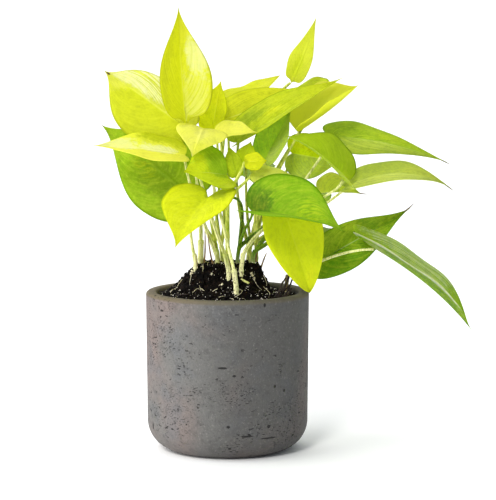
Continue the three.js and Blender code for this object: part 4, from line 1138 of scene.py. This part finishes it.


# A blade's material. A side vein is where the fraction of rise times veins is near a half, with rise = along
# - slant (out + out^2) / 2, so it leaves the midrib towards the tip. Streaks are noise drawn out along rise.
# Veins mix a paler colour over the ground; the streaks mix in painted sheen, paler, and painted shade,
# deeper, as light falls on the quilted surface between the veins.
def leafFinish(name, leaf):
    finish = Finish("leaf_" + name)
    place = finish.objectPlace()
    along, across, under = (finish.mark(mark) for mark in ("along", "across", "under"))
    out = abs(across)
    cloud, mottle, fine = (finish.noise(place, *blade[key]) for key in ("cloud", "mottle", "fine"))
    color = groundColor(finish, leaf, along, across, cloud)
    rise = along - (out + out * out) * (0.5 * leaf["slant"]) + (cloud - 0.5) * 0.05
    # Streaks and fine veins stand farther apart where the veins lie flatter
    apart = 1 + 1.8 * max(0, leaf["slant"] - 0.4)
    run = blade["streaks"]
    flow = {0: rise * (run["along"] / apart), 1: out * run["out"] + across * run["half"], 2: leaf["veins"]}
    streaks = finish.noise(finish.node("CombineXYZ", {}, flow), 1, 3, 0.6)
    color = addTonesAndPaintedLight(finish, leaf, color, along, across, cloud + mottle - 1, streaks)

    pale = finish.mix(0.5, color, blade["pale"])
    deep = finish.mix(0.5, color, blade["deep"])
    vein = 1 - finish.step(abs((rise * leaf["veins"]).fraction() - 0.5), 0.02, 0.12)
    thin = 1 - finish.step(abs((rise * (leaf["veins"] * 4 / apart)).fraction() - 0.5), 0.08, 0.36)
    within = (1 - finish.step(out, 0.8, 1.0)) * finish.step(out, 0.03, 0.12)
    # Painted sheen and painted shade: pale and deep streaks along the veins
    light = finish.step(streaks * 0.7 + mottle * 0.3, 0.5, 0.62)
    shade_streaks = 1 - finish.step(streaks * 0.6 + mottle * 0.4, 0.38, 0.5)
    color = finish.mix((vein * 0.7 + light * 0.8 + thin * 0.3) * within * leaf["veining"], color, pale)
    color = finish.mix(shade_streaks * within * leaf["veining"] * 0.8, color, deep)
    color = finish.mix(finish.step(mottle, 0.55, 0.75) * leaf["speck"], color, pale)
    # Blotches, then grit: paler at the noise's peaks and deeper in its hollows
    marks = (
        ("blotches", "blotch", (0.52, 0.60), (0.40, 0.47)),
        ("grit", "crisp", (0.51, 0.62), (0.38, 0.49)),
    )
    for kind, strength, peaks, hollows in marks:
        noise = finish.noise(place, *blade[kind])
        color = finish.mix(finish.step(noise, *peaks) * leaf[strength], color, pale)
        color = finish.mix((1 - finish.step(noise, *hollows)) * leaf[strength], color, deep)
    midrib = 1 - finish.step(out, 0.4 * leaf["ribWidth"], leaf["ribWidth"])
    ribColor = finish.mix(0.6 * leaf["rib"] ** 2, pale, blade["midrib"])
    color = finish.mix(midrib * leaf["rib"], color, ribColor)
    color = addEdges(finish, leaf, color, place, along, out, under, mottle, pale, deep)
    relief = fine * 0.15 + mottle * 0.25 - (vein * 0.8 + thin * 0.25) * within
    sockets = {
        "Base Color": color,
        "Roughness": 0.3 + mottle * 0.16 + under * 0.2,
        "Normal": finish.bump(relief, 0.0004, 0.7),
        "Specular IOR Level": 0.08,
    }
    glow = [0.5 * (a + b) for a, b in zip(paint(*leaf["color"]), paint(*leaf["second"]))]
    return finish.close(sockets, {"share": leaf["through"], "color": glow})


for name in leaves:
    leaves[name] = {**leafDefaults, **leaves[name]}
    makeBlade(name, leaves[name])
print("leaf blades made:", len(leaves))

# Dry threads at some leaves' tips: where each starts, as a share of the leaf's length, and how
# long, how thick and how far bent up it is, in metres
dryTips = {
    "fan": (0.95, 0.0036, 0.00105, 0.0),
    "dark_low": (0.94, 0.0105, 0.00060, 0.0020),
    "olive_tip": (0.93, 0.0080, 0.00045, 0.0006),
    "reach_upper": (0.95, 0.0085, 0.00045, -0.0008),
    "reach_lower": (0.95, 0.0085, 0.00045, -0.0008),
}


# Each thread follows the midrib and runs on past it: start + length t + up bend t^2
def makeTips():
    t = np.linspace(0, 1, 12)
    taper = (1 - 0.7 * t**2) * (0.5 + 0.5 * smoothStep(0, 0.3, t))
    tubes = []
    for name, (start, length, radius, bend) in dryTips.items():
        points = bladeMiddle(leaves[name], np.array([start, 1.0]), np.array([0.0]))[0].reshape(2, 3)
        path = points[0] + length * unitOf(points[1] - points[0]) * t[:, None]
        path[:, 2] += bend * t**2
        tubes.append((path, radius * taper))
    makeTubes("dry_tips", "dry", tubes, 8)


# Stems: rooted cuttings with their petioles

cuttings = {
    "left": {
        "foot": (-24.6, 0), "radius": 1.6, "kind": "pale", "top": (-25.5, 1, 150),
        "petioles": {
            "broad_left": {"leave": (-6, 2, 22), "arrive": (-6, -4, 8)},
        },
    },
    "left_thick": {
        "foot": (-20.8, 8), "radius": 2.2, "kind": "pale", "top": (-20.5, 8, 160),
        "petioles": {
            "fan": {"leave": (0, -6, 40), "arrive": (-4, 1, 14)},
        },
    },
    "wing": {
        "foot": (-8, 2), "radius": 1.6, "kind": "pale", "top": (-10, 1, 154),
        "petioles": {
            "pale_wing": {"leave": (-12, -2, 30), "arrive": (-1, -4, 18)},
        },
    },
    "upright": {
        "foot": (1, -14), "radius": 1.8, "kind": "pale", "top": (-2, -14, 152),
        "petioles": {
            "upright": {"leave": (-16, 0, 40), "arrive": (-6, 2, 18)},
        },
    },
    "back": {
        "foot": (-4.4, 10), "radius": 1.6, "kind": "olive", "top": (-5, 11, 156),
        "petioles": {
            "sprout_top": {"leave": (-6, 4, 30), "arrive": (0, -4, 20)},
            "top_band": {"leave": (8, 8, 40), "arrive": (-6, 14, 16)},
            "veil": {"leave": (6, 8, 36), "arrive": (4, -2, 20)},
        },
    },
    "front": {
        "foot": (6.8, -30), "radius": 1.9, "kind": "pale", "top": (5, -30, 142),
        "petioles": {
            "cream": {"leave": (-10, 26, 40), "arrive": (2, -14, 10)},
        },
    },
    "centre": {
        "foot": (0, -2), "radius": 1.7, "kind": "lime", "top": (0, -8, 196),
        "petioles": {
            "round_left": {"leave": (1, -3, 6), "arrive": (1, -6, 5)},
            "centre_left": {"leave": (2, -1, 5), "arrive": (0, 0, 6)},
            "centre_right": {"leave": (3, 0, 8), "arrive": (1, 0, 8)},
            "butter": {"leave": (-6, 4, 20), "arrive": (0, 0, 12)},
            "butter_small": {"leave": (6, -4, 12), "arrive": (3, -2, 8)},
            "olive_low": {"leave": (8, 2, 6), "arrive": (4, -2, 6)},
        },
    },
    "pale": {
        "foot": (10.6, -12), "radius": 1.7, "kind": "pale", "top": (12, -12, 152),
        "petioles": {
            "hanging": {"leave": (12, -2, 24), "arrive": (4, -6, 14)},
        },
    },
    "dark": {
        "foot": (7.6, 0), "radius": 1.5, "kind": "dark", "upper": "pale", "top": (9, -1, 156),
        "petioles": {
            "big_front": {"leave": (4, -8, 20), "arrive": (2, -8, 10)},
            "heart": {"leave": (6, -16, 50), "arrive": (-24, 0, 0)},
            "saddle": {"leave": (20, -4, 24), "arrive": (8, 0, 16)},
        },
    },
    "tall": {
        "foot": (22, 14), "radius": 1.6, "kind": "olive", "top": (22, 14, 160),
        "petioles": {
            "folded_top": {"leave": (6, 0, 40), "arrive": (12, -2, 24)},
            "shade_fold": {"leave": (2, 2, 30), "arrive": (2, -4, 16)},
            "blade_up": {"leave": (-2, 14, 50), "arrive": (28, -4, 20)},
        },
    },
    "low_right": {
        "foot": (19.4, 2), "radius": 1.6, "kind": "dark", "upper": "pale", "top": (21, 2, 153),
        "petioles": {
            "reach_lower": {"leave": (30, 0, 20), "arrive": (14, 0, 12)},
            "reach_upper": {"leave": (30, 6, 40), "arrive": (12, 0, 14)},
        },
    },
    "lime": {
        "foot": (17.9, 7), "radius": 1.5, "kind": "olive", "top": (16, 7, 156),
        "petioles": {
            "long_lime": {"leave": (-12, -4, 40), "arrive": (2, 0, 16)},
        },
    },
    "edge": {
        "foot": (44.7, 0), "radius": 1.6, "kind": "pale", "bark": 0.85, "top": (46, 0, 134),
        "petioles": {
            "weeping": {"leave": (20, 0, 10), "arrive": (24, 0, 0)},
            "dark_low": {"leave": (8, 2, 6), "arrive": (8, 0, 4)},
        },
    },
    "far_left": {
        "foot": (-8, 22), "radius": 1.7, "kind": "lime", "top": (-10, 24, 156),
        "petioles": {
            "back_left": {"leave": (-4, 4, 30), "arrive": (-4, 4, 16)},
            "back_low_left": {"leave": (-8, 2, 14), "arrive": (-6, 4, 10)},
            "back_top": {"leave": (2, 8, 40), "arrive": (2, 6, 20)},
        },
    },
    "far_right": {
        "foot": (16, 24), "radius": 1.7, "kind": "olive", "top": (18, 26, 156),
        "petioles": {
            "back_right": {"leave": (8, 4, 14), "arrive": (4, 4, 10)},
            "back_low_right": {"leave": (16, 2, 4), "arrive": (8, 4, 2)},
            "back_centre": {"leave": (-4, 6, 24), "arrive": (0, 2, 16)},
            "olive_round": {"leave": (10, -4, 30), "arrive": (4, 0, 20)},
            "olive_tip": {"leave": (24, -6, 14), "arrive": (8, 0, 10)},
            "behind_lime": {"leave": (10, 8, 60), "arrive": (10, 4, 30)},
        },
    },
}

stem = {
    "rootDepth": 0.012,  # how deep a stem stands in the mix
    "holeGap": 0.0003,  # left under its foot
    "straightRise": 0.005,  # how far it rises upright out of the mix
    "bite": 0.0012,  # how deep a petiole's root is sunk in the top of its stem
    "behind": 0.0006,  # how far a petiole's end lies behind its blade's base
    "petioleFoot": 0.00130,
    "petioleBlade": 0.00085,
    "nodes": (0.52, 0.93),  # where a stem swells, in shares of its length
    "nodeSpread": 0.03,
    "jointPlace": 0.96,  # where a petiole swells, in the same shares
    "jointSpread": 0.045,
    "sides": 14,
    "steps": 44,
    "node": 0.16,  # how far a stem swells at its nodes
    "joint": 0.30,  # how far a petiole swells under its blade
    "sheath": 0.25,  # how far the sheath's wings stand off the petiole's foot
    "pale": (paint(246, 244, 176), paint(190, 200, 96)),
    "lime": (paint(230, 236, 110), paint(168, 190, 50)),
    "dark": (paint(120, 158, 20), paint(60, 96, 6)),
    "olive": (paint(206, 212, 96), paint(132, 150, 40)),
    "brown": paint(84, 56, 22),
    "white": paint(232, 226, 196),
}


# Stem and petiole: light and deep in streaks along the height, running over into the upper kind's paints to
# the right, white and brown at the foot, with brown specks, and brown lines up the tube's sides that are the
# sheath's dry edges and painted shade at the tube's edges
def stemFinish(kind, upper, bark):
    finish = Finish("stem_" + kind + "_" + upper + ("_bark" if bark else ""))
    place = finish.objectPlace()
    along = finish.mark("along")
    around = finish.mark("around")
    sheath = finish.mark("sheath")
    streaks = finish.noise(finish.stretch(place, (1, 1, 0.12)), 1000, 3, 0.6)
    cloud = finish.noise(place, 120, 3, 0.6)
    specks = finish.noise(place, 700, 3, 0.6)
    sideways = finish.coordinate(place, "X")
    rising = finish.step(along, 0.45, 0.6) * finish.step(sideways, 0.02, 0.04)
    light, deep = (finish.mix(rising, low, high) for low, high in zip(stem[kind], stem[upper]))
    color = finish.mix(finish.step(streaks + (cloud - 0.5) * 0.6, 0.42, 0.64), light, deep)
    height = finish.coordinate(place, "Z")
    foot = 1 - finish.step(height, 0.138, 0.152)
    color = finish.mix(foot * 0.45, color, stem["white"])
    color = finish.mix(foot * finish.step(specks, 0.52, 0.66) * 0.75, color, stem["brown"])
    color = finish.mix(finish.step(specks, 0.62, 0.72) * 0.35, color, stem["brown"])
    if bark:
        color = finish.mix((1 - finish.step(height, 0.136, 0.141)) * bark, color, stem["brown"])
    # Brown lines run up each side of the tube: the sheath's two dry edges where the sheath is, and, more
    # faintly along the whole stem and petiole, painted shade at the tube's edges
    edge = 1 - finish.step(abs(abs(around - 0.5) - 0.25), 0.02, 0.05)
    color = finish.mix(edge * (sheath * 0.5 + 0.25) * (0.5 + cloud * 0.6), color, stem["brown"])
    sockets = {
        "Base Color": color,
        "Roughness": 0.42 + cloud * 0.15,
        "Normal": finish.bump(streaks * 0.6 - specks * 0.3, 0.00025, 0.7),
        "Specular IOR Level": 0.2,
    }
    return finish.close(sockets)


# A smooth curve through points: a Bezier between each two, with handles a third of the way
# along the line that joins their neighbours
def smoothPath(points, count):
    points = np.asarray(points, float)
    handles = np.gradient(points, axis=0) / 3
    parts = []
    for a, b, m, n in zip(points[:-1], points[1:], handles[:-1], handles[1:]):
        size = np.linalg.norm(b - a) / 3
        m, n = unitOf(m) * size, unitOf(n) * size
        parts.append(bezier(a, a + m, b - n, b, np.linspace(0, 1, 24)[:-1]))
    line = np.concatenate([*parts, points[-1:]])
    walked = np.concatenate([[0], np.cumsum(np.linalg.norm(np.diff(line, axis=0), axis=1))])
    stops = np.linspace(0, walked[-1], count)
    return np.stack([np.interp(stops, walked, line[:, k]) for k in range(3)], -1)


# Where a petiole ends: behind the blade's base, on the side that the petiole comes from
def petioleEnd(leaf, arrive):
    normal = np.array([0, 0, 1.0]) @ midribOf(leaf)["turn"]
    side = np.sign(unitOf(np.array(arrive, float)) @ normal) or 1
    return millimetre * np.array(leaf["base"], float) - stem["behind"] * side * normal


# A cutting's stem, swollen at its nodes, and the petioles from its top
def makeCutting(name, cutting):
    x, y = (millimetre * value for value in cutting["foot"])
    ground = float(soilHeight(x, y))
    top = millimetre * np.array(cutting["top"], float)
    collar = np.array([x, y, ground + stem["straightRise"]])
    radius = millimetre * cutting["radius"]
    line = [
        (x, y, ground - stem["rootDepth"] + stem["holeGap"]),
        (x, y, ground - stem["rootDepth"] / 2),
        (x, y, ground + stem["straightRise"] / 2),
        collar,
        0.45 * collar + 0.55 * top,
        top,
    ]
    path = smoothPath(line, stem["steps"])
    stops = np.linspace(0, 1, stem["steps"])
    nodes = sum(np.exp(-(((stops - at) / stem["nodeSpread"]) ** 2)) for at in stem["nodes"])
    thick = radius * (1 + stem["node"] * nodes)
    pieces = [tubeArrays(path, thick, stem["sides"], 0.4 * stops, 0 * stops)]
    heading = unitOf(top - np.array([x, y, ground]))
    root = top - heading * stem["bite"]
    for leafName, petiole in cutting["petioles"].items():
        leave, arrive = (millimetre * np.array(petiole[key], float) for key in ("leave", "arrive"))
        end = petioleEnd(leaves[leafName], arrive)
        path = bezier(root, root + leave, end - arrive, end, stops)
        joint = np.exp(-(((stops - stem["jointPlace"]) / stem["jointSpread"]) ** 2))
        wing = (1 - smoothStep(0.15, 0.5, stops)) * smoothStep(-0.02, 0.06, stops)
        thick = stem["petioleFoot"] + (stem["petioleBlade"] - stem["petioleFoot"]) * stops
        thick = thick * (1 + stem["joint"] * joint)
        pieces.append(tubeArrays(path, thick, stem["sides"], 0.4 + 0.6 * stops, wing))
    points, faces, marks = joinArrays(pieces)
    finish = stemFinish(cutting["kind"], cutting.get("upper", cutting["kind"]), cutting.get("bark", 0))
    piece = makePiece("cutting_" + name, points, faces, finish, marks)
    closeSeams(piece)
    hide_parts("stem_" + name)


# A tube's corners, faces and marks; the sheath's wings push its two sides out
def tubeArrays(path, radius, sides, along, sheath):
    around = np.arange(sides) / sides
    wings = 1 + stem["sheath"] * sheath[:, None] * np.abs(np.cos(2 * np.pi * around))[None] ** 3
    ring = tubeSurface(path, 1.0, sides)
    centre = np.concatenate([path[:1], path, path[-1:]])[:, None]
    reach = np.concatenate([[0], np.broadcast_to(radius, len(path)), [0]])[:, None]
    size = np.concatenate([wings[:1], wings, wings[-1:]]) * reach
    points = centre + (ring - centre) * size[..., None]
    rows = len(points)

    def widen(values):
        return np.repeat(np.concatenate([values[:1], values, values[-1:]]), sides)

    marks = {"along": widen(along), "around": np.tile(around, rows), "sheath": widen(sheath)}
    return points.reshape(-1, 3), gridFaces(rows, sides), marks


# Joins several sets of corners, faces and marks into one
def joinArrays(pieces):
    starts = np.cumsum([0] + [len(points) for points, faces, marks in pieces[:-1]])
    points = np.concatenate([piece[0] for piece in pieces])
    faces = np.concatenate([piece[1] + start for piece, start in zip(pieces, starts)])
    marks = {key: np.concatenate([piece[2][key] for piece in pieces]) for key in pieces[0][2]}
    return points, faces, marks


for name, cutting in cuttings.items():
    makeCutting(name, cutting)
print("stems made:", len(cuttings))

# Litter: rootlets, a cut piece of stem, twigs and dry sheaths on and in the mix

litter = {
    "strays": 18,  # rootlets drawn at random
    "rootRadius": 0.00019,
    "rootSteps": 14,
    "rootRise": 0.0009,  # of a rootlet's middle line above the mix
    "steps": 12,  # along a twig or sheath
    "cutRise": 0.0012,
    "nubs": 7,  # round each cutting's foot
    "seed": 21,
    # Rootlets seen from the front: from and to, in metres across the mix
    "rootlets": (
        ((-0.0286, -0.0030), (-0.0292, -0.0102)),
        ((-0.0439, -0.0059), (-0.0399, -0.0041)),
        ((-0.0203, -0.0027), (-0.0190, -0.0076)),
        ((0.0056, -0.0374), (0.0099, -0.0218)),
        ((0.0270, -0.0038), (0.0315, -0.0284)),
        ((0.0399, -0.0048), (0.0455, 0.0015)),
        ((-0.0110, -0.0250), (-0.0040, -0.0205)),
    ),
    "cutStem": ((0.0103, -0.0154), (0.0164, -0.0167), 0.0009),
    # Balls of white fibre: middle, how far the fibre spreads and how many lumps
    "tufts": (
        ((0.0187, -0.0088), 0.0024, 14),
        ((-0.0270, -0.0040), 0.0018, 8),
        ((-0.0120, -0.0120), 0.0008, 3),
        ((-0.0043, -0.0181), 0.0008, 3),
    ),
    # Twigs: from and to, and the radius, all in metres
    "twigs": (
        ((0.0385, -0.0260, 0.1180), (0.0440, -0.0225, 0.1345), 0.00075),
        ((0.0395, -0.0230, 0.1180), (0.0470, -0.0200, 0.1365), 0.00080),
        ((0.0370, -0.0250, 0.1185), (0.0420, -0.0210, 0.1320), 0.00060),
        ((0.0410, -0.0270, 0.1185), (0.0490, -0.0205, 0.1330), 0.00085),
        ((0.0380, -0.0200, 0.1185), (0.0475, -0.0250, 0.1300), 0.00070),
        ((0.0420, -0.0280, 0.1185), (0.0485, -0.0230, 0.1270), 0.00080),
        ((0.0350, -0.0270, 0.1190), (0.0440, -0.0260, 0.1275), 0.00060),
        ((0.0300, -0.0300, 0.1190), (0.0420, -0.0310, 0.1215), 0.00045),
        ((-0.0400, -0.0180, 0.1200), (-0.0300, -0.0280, 0.1225), 0.00050),
        ((0.0010, 0.0320, 0.1270), (-0.0120, 0.0400, 0.1235), 0.00055),
        ((-0.0300, 0.0260, 0.1230), (-0.0230, 0.0350, 0.1240), 0.00050),
    ),
    # Dry sheaths: from and to, and half the width
    "sheaths": (
        ((-0.0228, -0.0008, 0.1390), (-0.0245, -0.0020, 0.1640), 0.0010),
        ((-0.0185, 0.0055, 0.1390), (-0.0175, 0.0045, 0.1700), 0.0008),
        ((-0.0105, -0.0005, 0.1400), (-0.0150, -0.0030, 0.1660), 0.0008),
        ((-0.0050, 0.0040, 0.1400), (-0.0100, 0.0030, 0.1600), 0.0007),
        ((0.0030, -0.0110, 0.1380), (-0.0040, -0.0120, 0.1580), 0.0006),
        ((-0.0012, -0.0075, 0.1380), (-0.0014, -0.0070, 0.1625), 0.0006),
        ((0.0205, 0.0090, 0.1390), (0.0235, 0.0080, 0.1580), 0.0009),
        ((0.0250, 0.0110, 0.1360), (0.0300, 0.0100, 0.1500), 0.0008),
        ((-0.0060, 0.0250, 0.1350), (-0.0090, 0.0290, 0.1560), 0.0010),
        ((0.0180, 0.0270, 0.1340), (0.0210, 0.0310, 0.1540), 0.0010),
    ),
    "pale": (paint(236, 228, 200), paint(186, 172, 132)),
    "cut": (paint(214, 214, 140), paint(170, 170, 96)),
    "twig": (paint(40, 27, 20), paint(22, 15, 12)),
    "papery": (paint(160, 128, 78), paint(92, 60, 28)),
    "dry": (paint(120, 92, 40), paint(52, 36, 14)),
}


# Litter: light and deep paints of a kind in streaks along the height
def litterFinish(kind):
    finish = Finish(kind)
    place = finish.objectPlace()
    streaks = finish.noise(finish.stretch(place, (1, 1, 0.25)), 800, 3, 0.6)
    light, deep = litter[kind]
    sockets = {
        "Base Color": finish.mix(finish.step(streaks, 0.35, 0.7), light, deep),
        "Roughness": 0.75 - streaks * 0.15,
        "Normal": finish.bump(streaks, 0.0003, 0.8),
        "Specular IOR Level": 0.3,
    }
    return finish.close(sockets)


# A rootlet's path over the mix: a line from start to end, bowed sideways by bow times
# sin(pi t) and lifted off the mix in the middle by lift times sin(pi t)
def rootletPath(start, end, bow, lift):
    start, end = np.array(start, float), np.array(end, float)
    t = np.linspace(0, 1, litter["rootSteps"])[:, None]
    run = end - start
    flat = start + run * t + bow * np.array([-run[1], run[0]]) * np.sin(np.pi * t)
    flat += 0.02 * np.linalg.norm(run) * np.sin(9 * t + 40 * start[:1])
    z = soilHeight(flat[:, 0], flat[:, 1]) + litter["rootRise"] + lift * np.sin(np.pi * t[:, 0])
    return np.column_stack([flat, z])


# One piece from several tubes
def makeTubes(name, kind, tubes, sides, flat=1.0):
    pieces = []
    for path, radius in tubes:
        ring = tubeSurface(path, radius, sides, flat)
        pieces.append((ring.reshape(-1, 3), gridFaces(len(ring), sides), {}))
    points, faces, marks = joinArrays(pieces)
    piece = makePiece(name, points, faces, litterFinish(kind))
    closeSeams(piece)


# All litter in turn: rootlets, the cut stem, twigs and sheaths as lines with a random bend, then
# nubs and fibre as small lumps
def makeLitter():
    rng = np.random.default_rng(litter["seed"])
    taper = np.linspace(1.1, 0.5, litter["rootSteps"])
    tubes = []
    for start, end in litter["rootlets"]:
        path = rootletPath(start, end, rng.uniform(-0.25, 0.25), 0.0012)
        tubes.append((path, 1.25 * litter["rootRadius"] * taper))
    for place in soilPlaces(litter["strays"], rng, 0.008):
        turn, reach = rng.uniform(0, 2 * np.pi), rng.uniform(0.004, 0.010)
        end = place[:2] * 0.9 + reach * np.array([math.cos(turn), math.sin(turn)])
        path = rootletPath(place[:2] * 0.9, end, rng.uniform(-0.4, 0.4), 0.0008)
        tubes.append((path, litter["rootRadius"] * taper))
    makeTubes("rootlets", "pale", tubes, 6)

    start, end, radius = litter["cutStem"]
    steps, nubs = litter["steps"], litter["nubs"]
    t = np.linspace(0, 1, steps)[:, None]
    flat = np.array(start) * (1 - t) + np.array(end) * t
    low, high = (soilHeight(*point) + litter["cutRise"] for point in (start, end))
    path = np.column_stack([flat, np.linspace(low, high, steps)])
    makeTubes("cut_stem", "cut", [(path, np.full(steps, radius))], 14)

    twigs = []
    for start, end, radius in litter["twigs"]:
        bend = 0.0012 * np.sin(np.pi * t) * rng.uniform(-1, 1, 3)
        path = np.array(start) * (1 - t) + np.array(end) * t + bend
        twigs.append((path, radius * (1.1 - 0.35 * t[:, 0] + 0.12 * rng.uniform(-1, 1, steps))))
    makeTubes("twigs", "twig", twigs, 9)

    sheaths = []
    for start, end, width in litter["sheaths"]:
        bend = 0.0016 * np.sin(np.pi * t) * rng.uniform(-1, 1, 3)
        path = np.array(start) * (1 - t) + np.array(end) * t + bend
        sheaths.append((path, 0.75 * width * (1 - t[:, 0] ** 2) ** 0.5 + 0.00008))
    makeTubes("dry_sheaths", "papery", sheaths, 12, 0.16)

    # Pale root nubs round each cutting's foot, and the balls of fibre
    places, sizes = [], []
    for (x, y), spread, count in litter["tufts"]:
        px, py = x + rng.normal(0, spread / 2, count), y + rng.normal(0, spread / 2, count)
        places.append(np.column_stack([px, py, soilHeight(px, py) + rng.uniform(0.0008, 0.0026, count)]))
        sizes.append(rng.uniform(0.0005, 0.0011, count))
    for cutting in cuttings.values():
        x, y = (millimetre * value for value in cutting["foot"])
        turn = rng.uniform(0, 2 * np.pi, nubs)
        reach = millimetre * cutting["radius"] + rng.uniform(-0.0002, 0.0006, nubs)
        px, py = x + reach * np.cos(turn), y + reach * np.sin(turn)
        places.append(np.column_stack([px, py, soilHeight(px, py) + rng.uniform(0.0004, 0.0022, nubs)]))
        sizes.append(rng.uniform(0.0004, 0.0009, nubs))
    points, faces = lumpArrays(np.concatenate(places), np.concatenate(sizes), rng, 0.3)
    nubs = makePiece("root_nubs", points, faces, litterFinish("pale"))
    print("litter made")


makeLitter()
makeTips()

# Stage: a pale floor under a soft sky and one broad light from the upper left

stage = {
    "floor": 120,  # metres across
    "floorDrop": 0.0002,  # under the pot's foot
    "sky": 0.62,
    "tilt": 0.35,  # how much brighter the sky is on the left
    "tint": (0.93, 0.975, 1.03, 1),
    "warm": (1, 0.985, 0.95),
    # Each light: the way towards it, its strength and how many degrees it spans
    "lights": {
        "left": ((-0.90, -0.25, 0.40), 2.4, 60),
        "front": ((-0.25, -0.80, 0.60), 1.6, 14),
        "back": ((-0.20, 0.75, 0.75), 1.0, 60),
    },
}


# The floor, the sky whose strength falls from left to right, and three suns
def makeStage():
    finish = Finish("floor")
    white = finish.close({"Base Color": (0.97, 0.97, 0.97, 1), "Roughness": 0.9, "Specular IOR Level": 0.1})
    half = stage["floor"] / 2
    mesh = bpy.data.meshes.new("floor")
    around = ((-1, -1), (1, -1), (1, 1), (-1, 1))
    corners = [(half * x, half * y, -stage["floorDrop"]) for x, y in around]
    mesh.from_pydata(corners, [], [(0, 1, 2, 3)])
    mesh.materials.append(white)
    floor = bpy.data.objects.new("floor", mesh)
    bpy.context.scene.collection.objects.link(floor)

    world = bpy.data.worlds.new("sky")
    world.use_nodes = True
    nodes, links = world.node_tree.nodes, world.node_tree.links
    nodes["Background"].inputs["Color"].default_value = stage["tint"]
    # Strength across the sky: sky (1 - tilt x), with x from -1 on the left to 1 on the right
    split, slope = nodes.new("ShaderNodeSeparateXYZ"), nodes.new("ShaderNodeMath")
    slope.operation = "MULTIPLY_ADD"
    slope.inputs[1].default_value = -stage["tilt"] * stage["sky"]
    slope.inputs[2].default_value = stage["sky"]
    links.new(nodes.new("ShaderNodeTexCoord").outputs["Generated"], split.inputs[0])
    links.new(split.outputs["X"], slope.inputs[0])
    links.new(slope.outputs[0], nodes["Background"].inputs["Strength"])
    bpy.context.scene.world = world

    for name, (towards, strength, spread) in stage["lights"].items():
        light = bpy.data.lights.new(name, "SUN")
        light.energy = strength
        light.color = stage["warm"]
        light.angle = math.radians(spread)
        lamp = bpy.data.objects.new(name, light)
        lamp.rotation_euler = Vector(towards).to_track_quat("Z", "Y").to_euler()
        bpy.context.scene.collection.objects.link(lamp)
    bpy.context.scene.view_settings.view_transform = "Standard"


makeStage()
print("stage made")
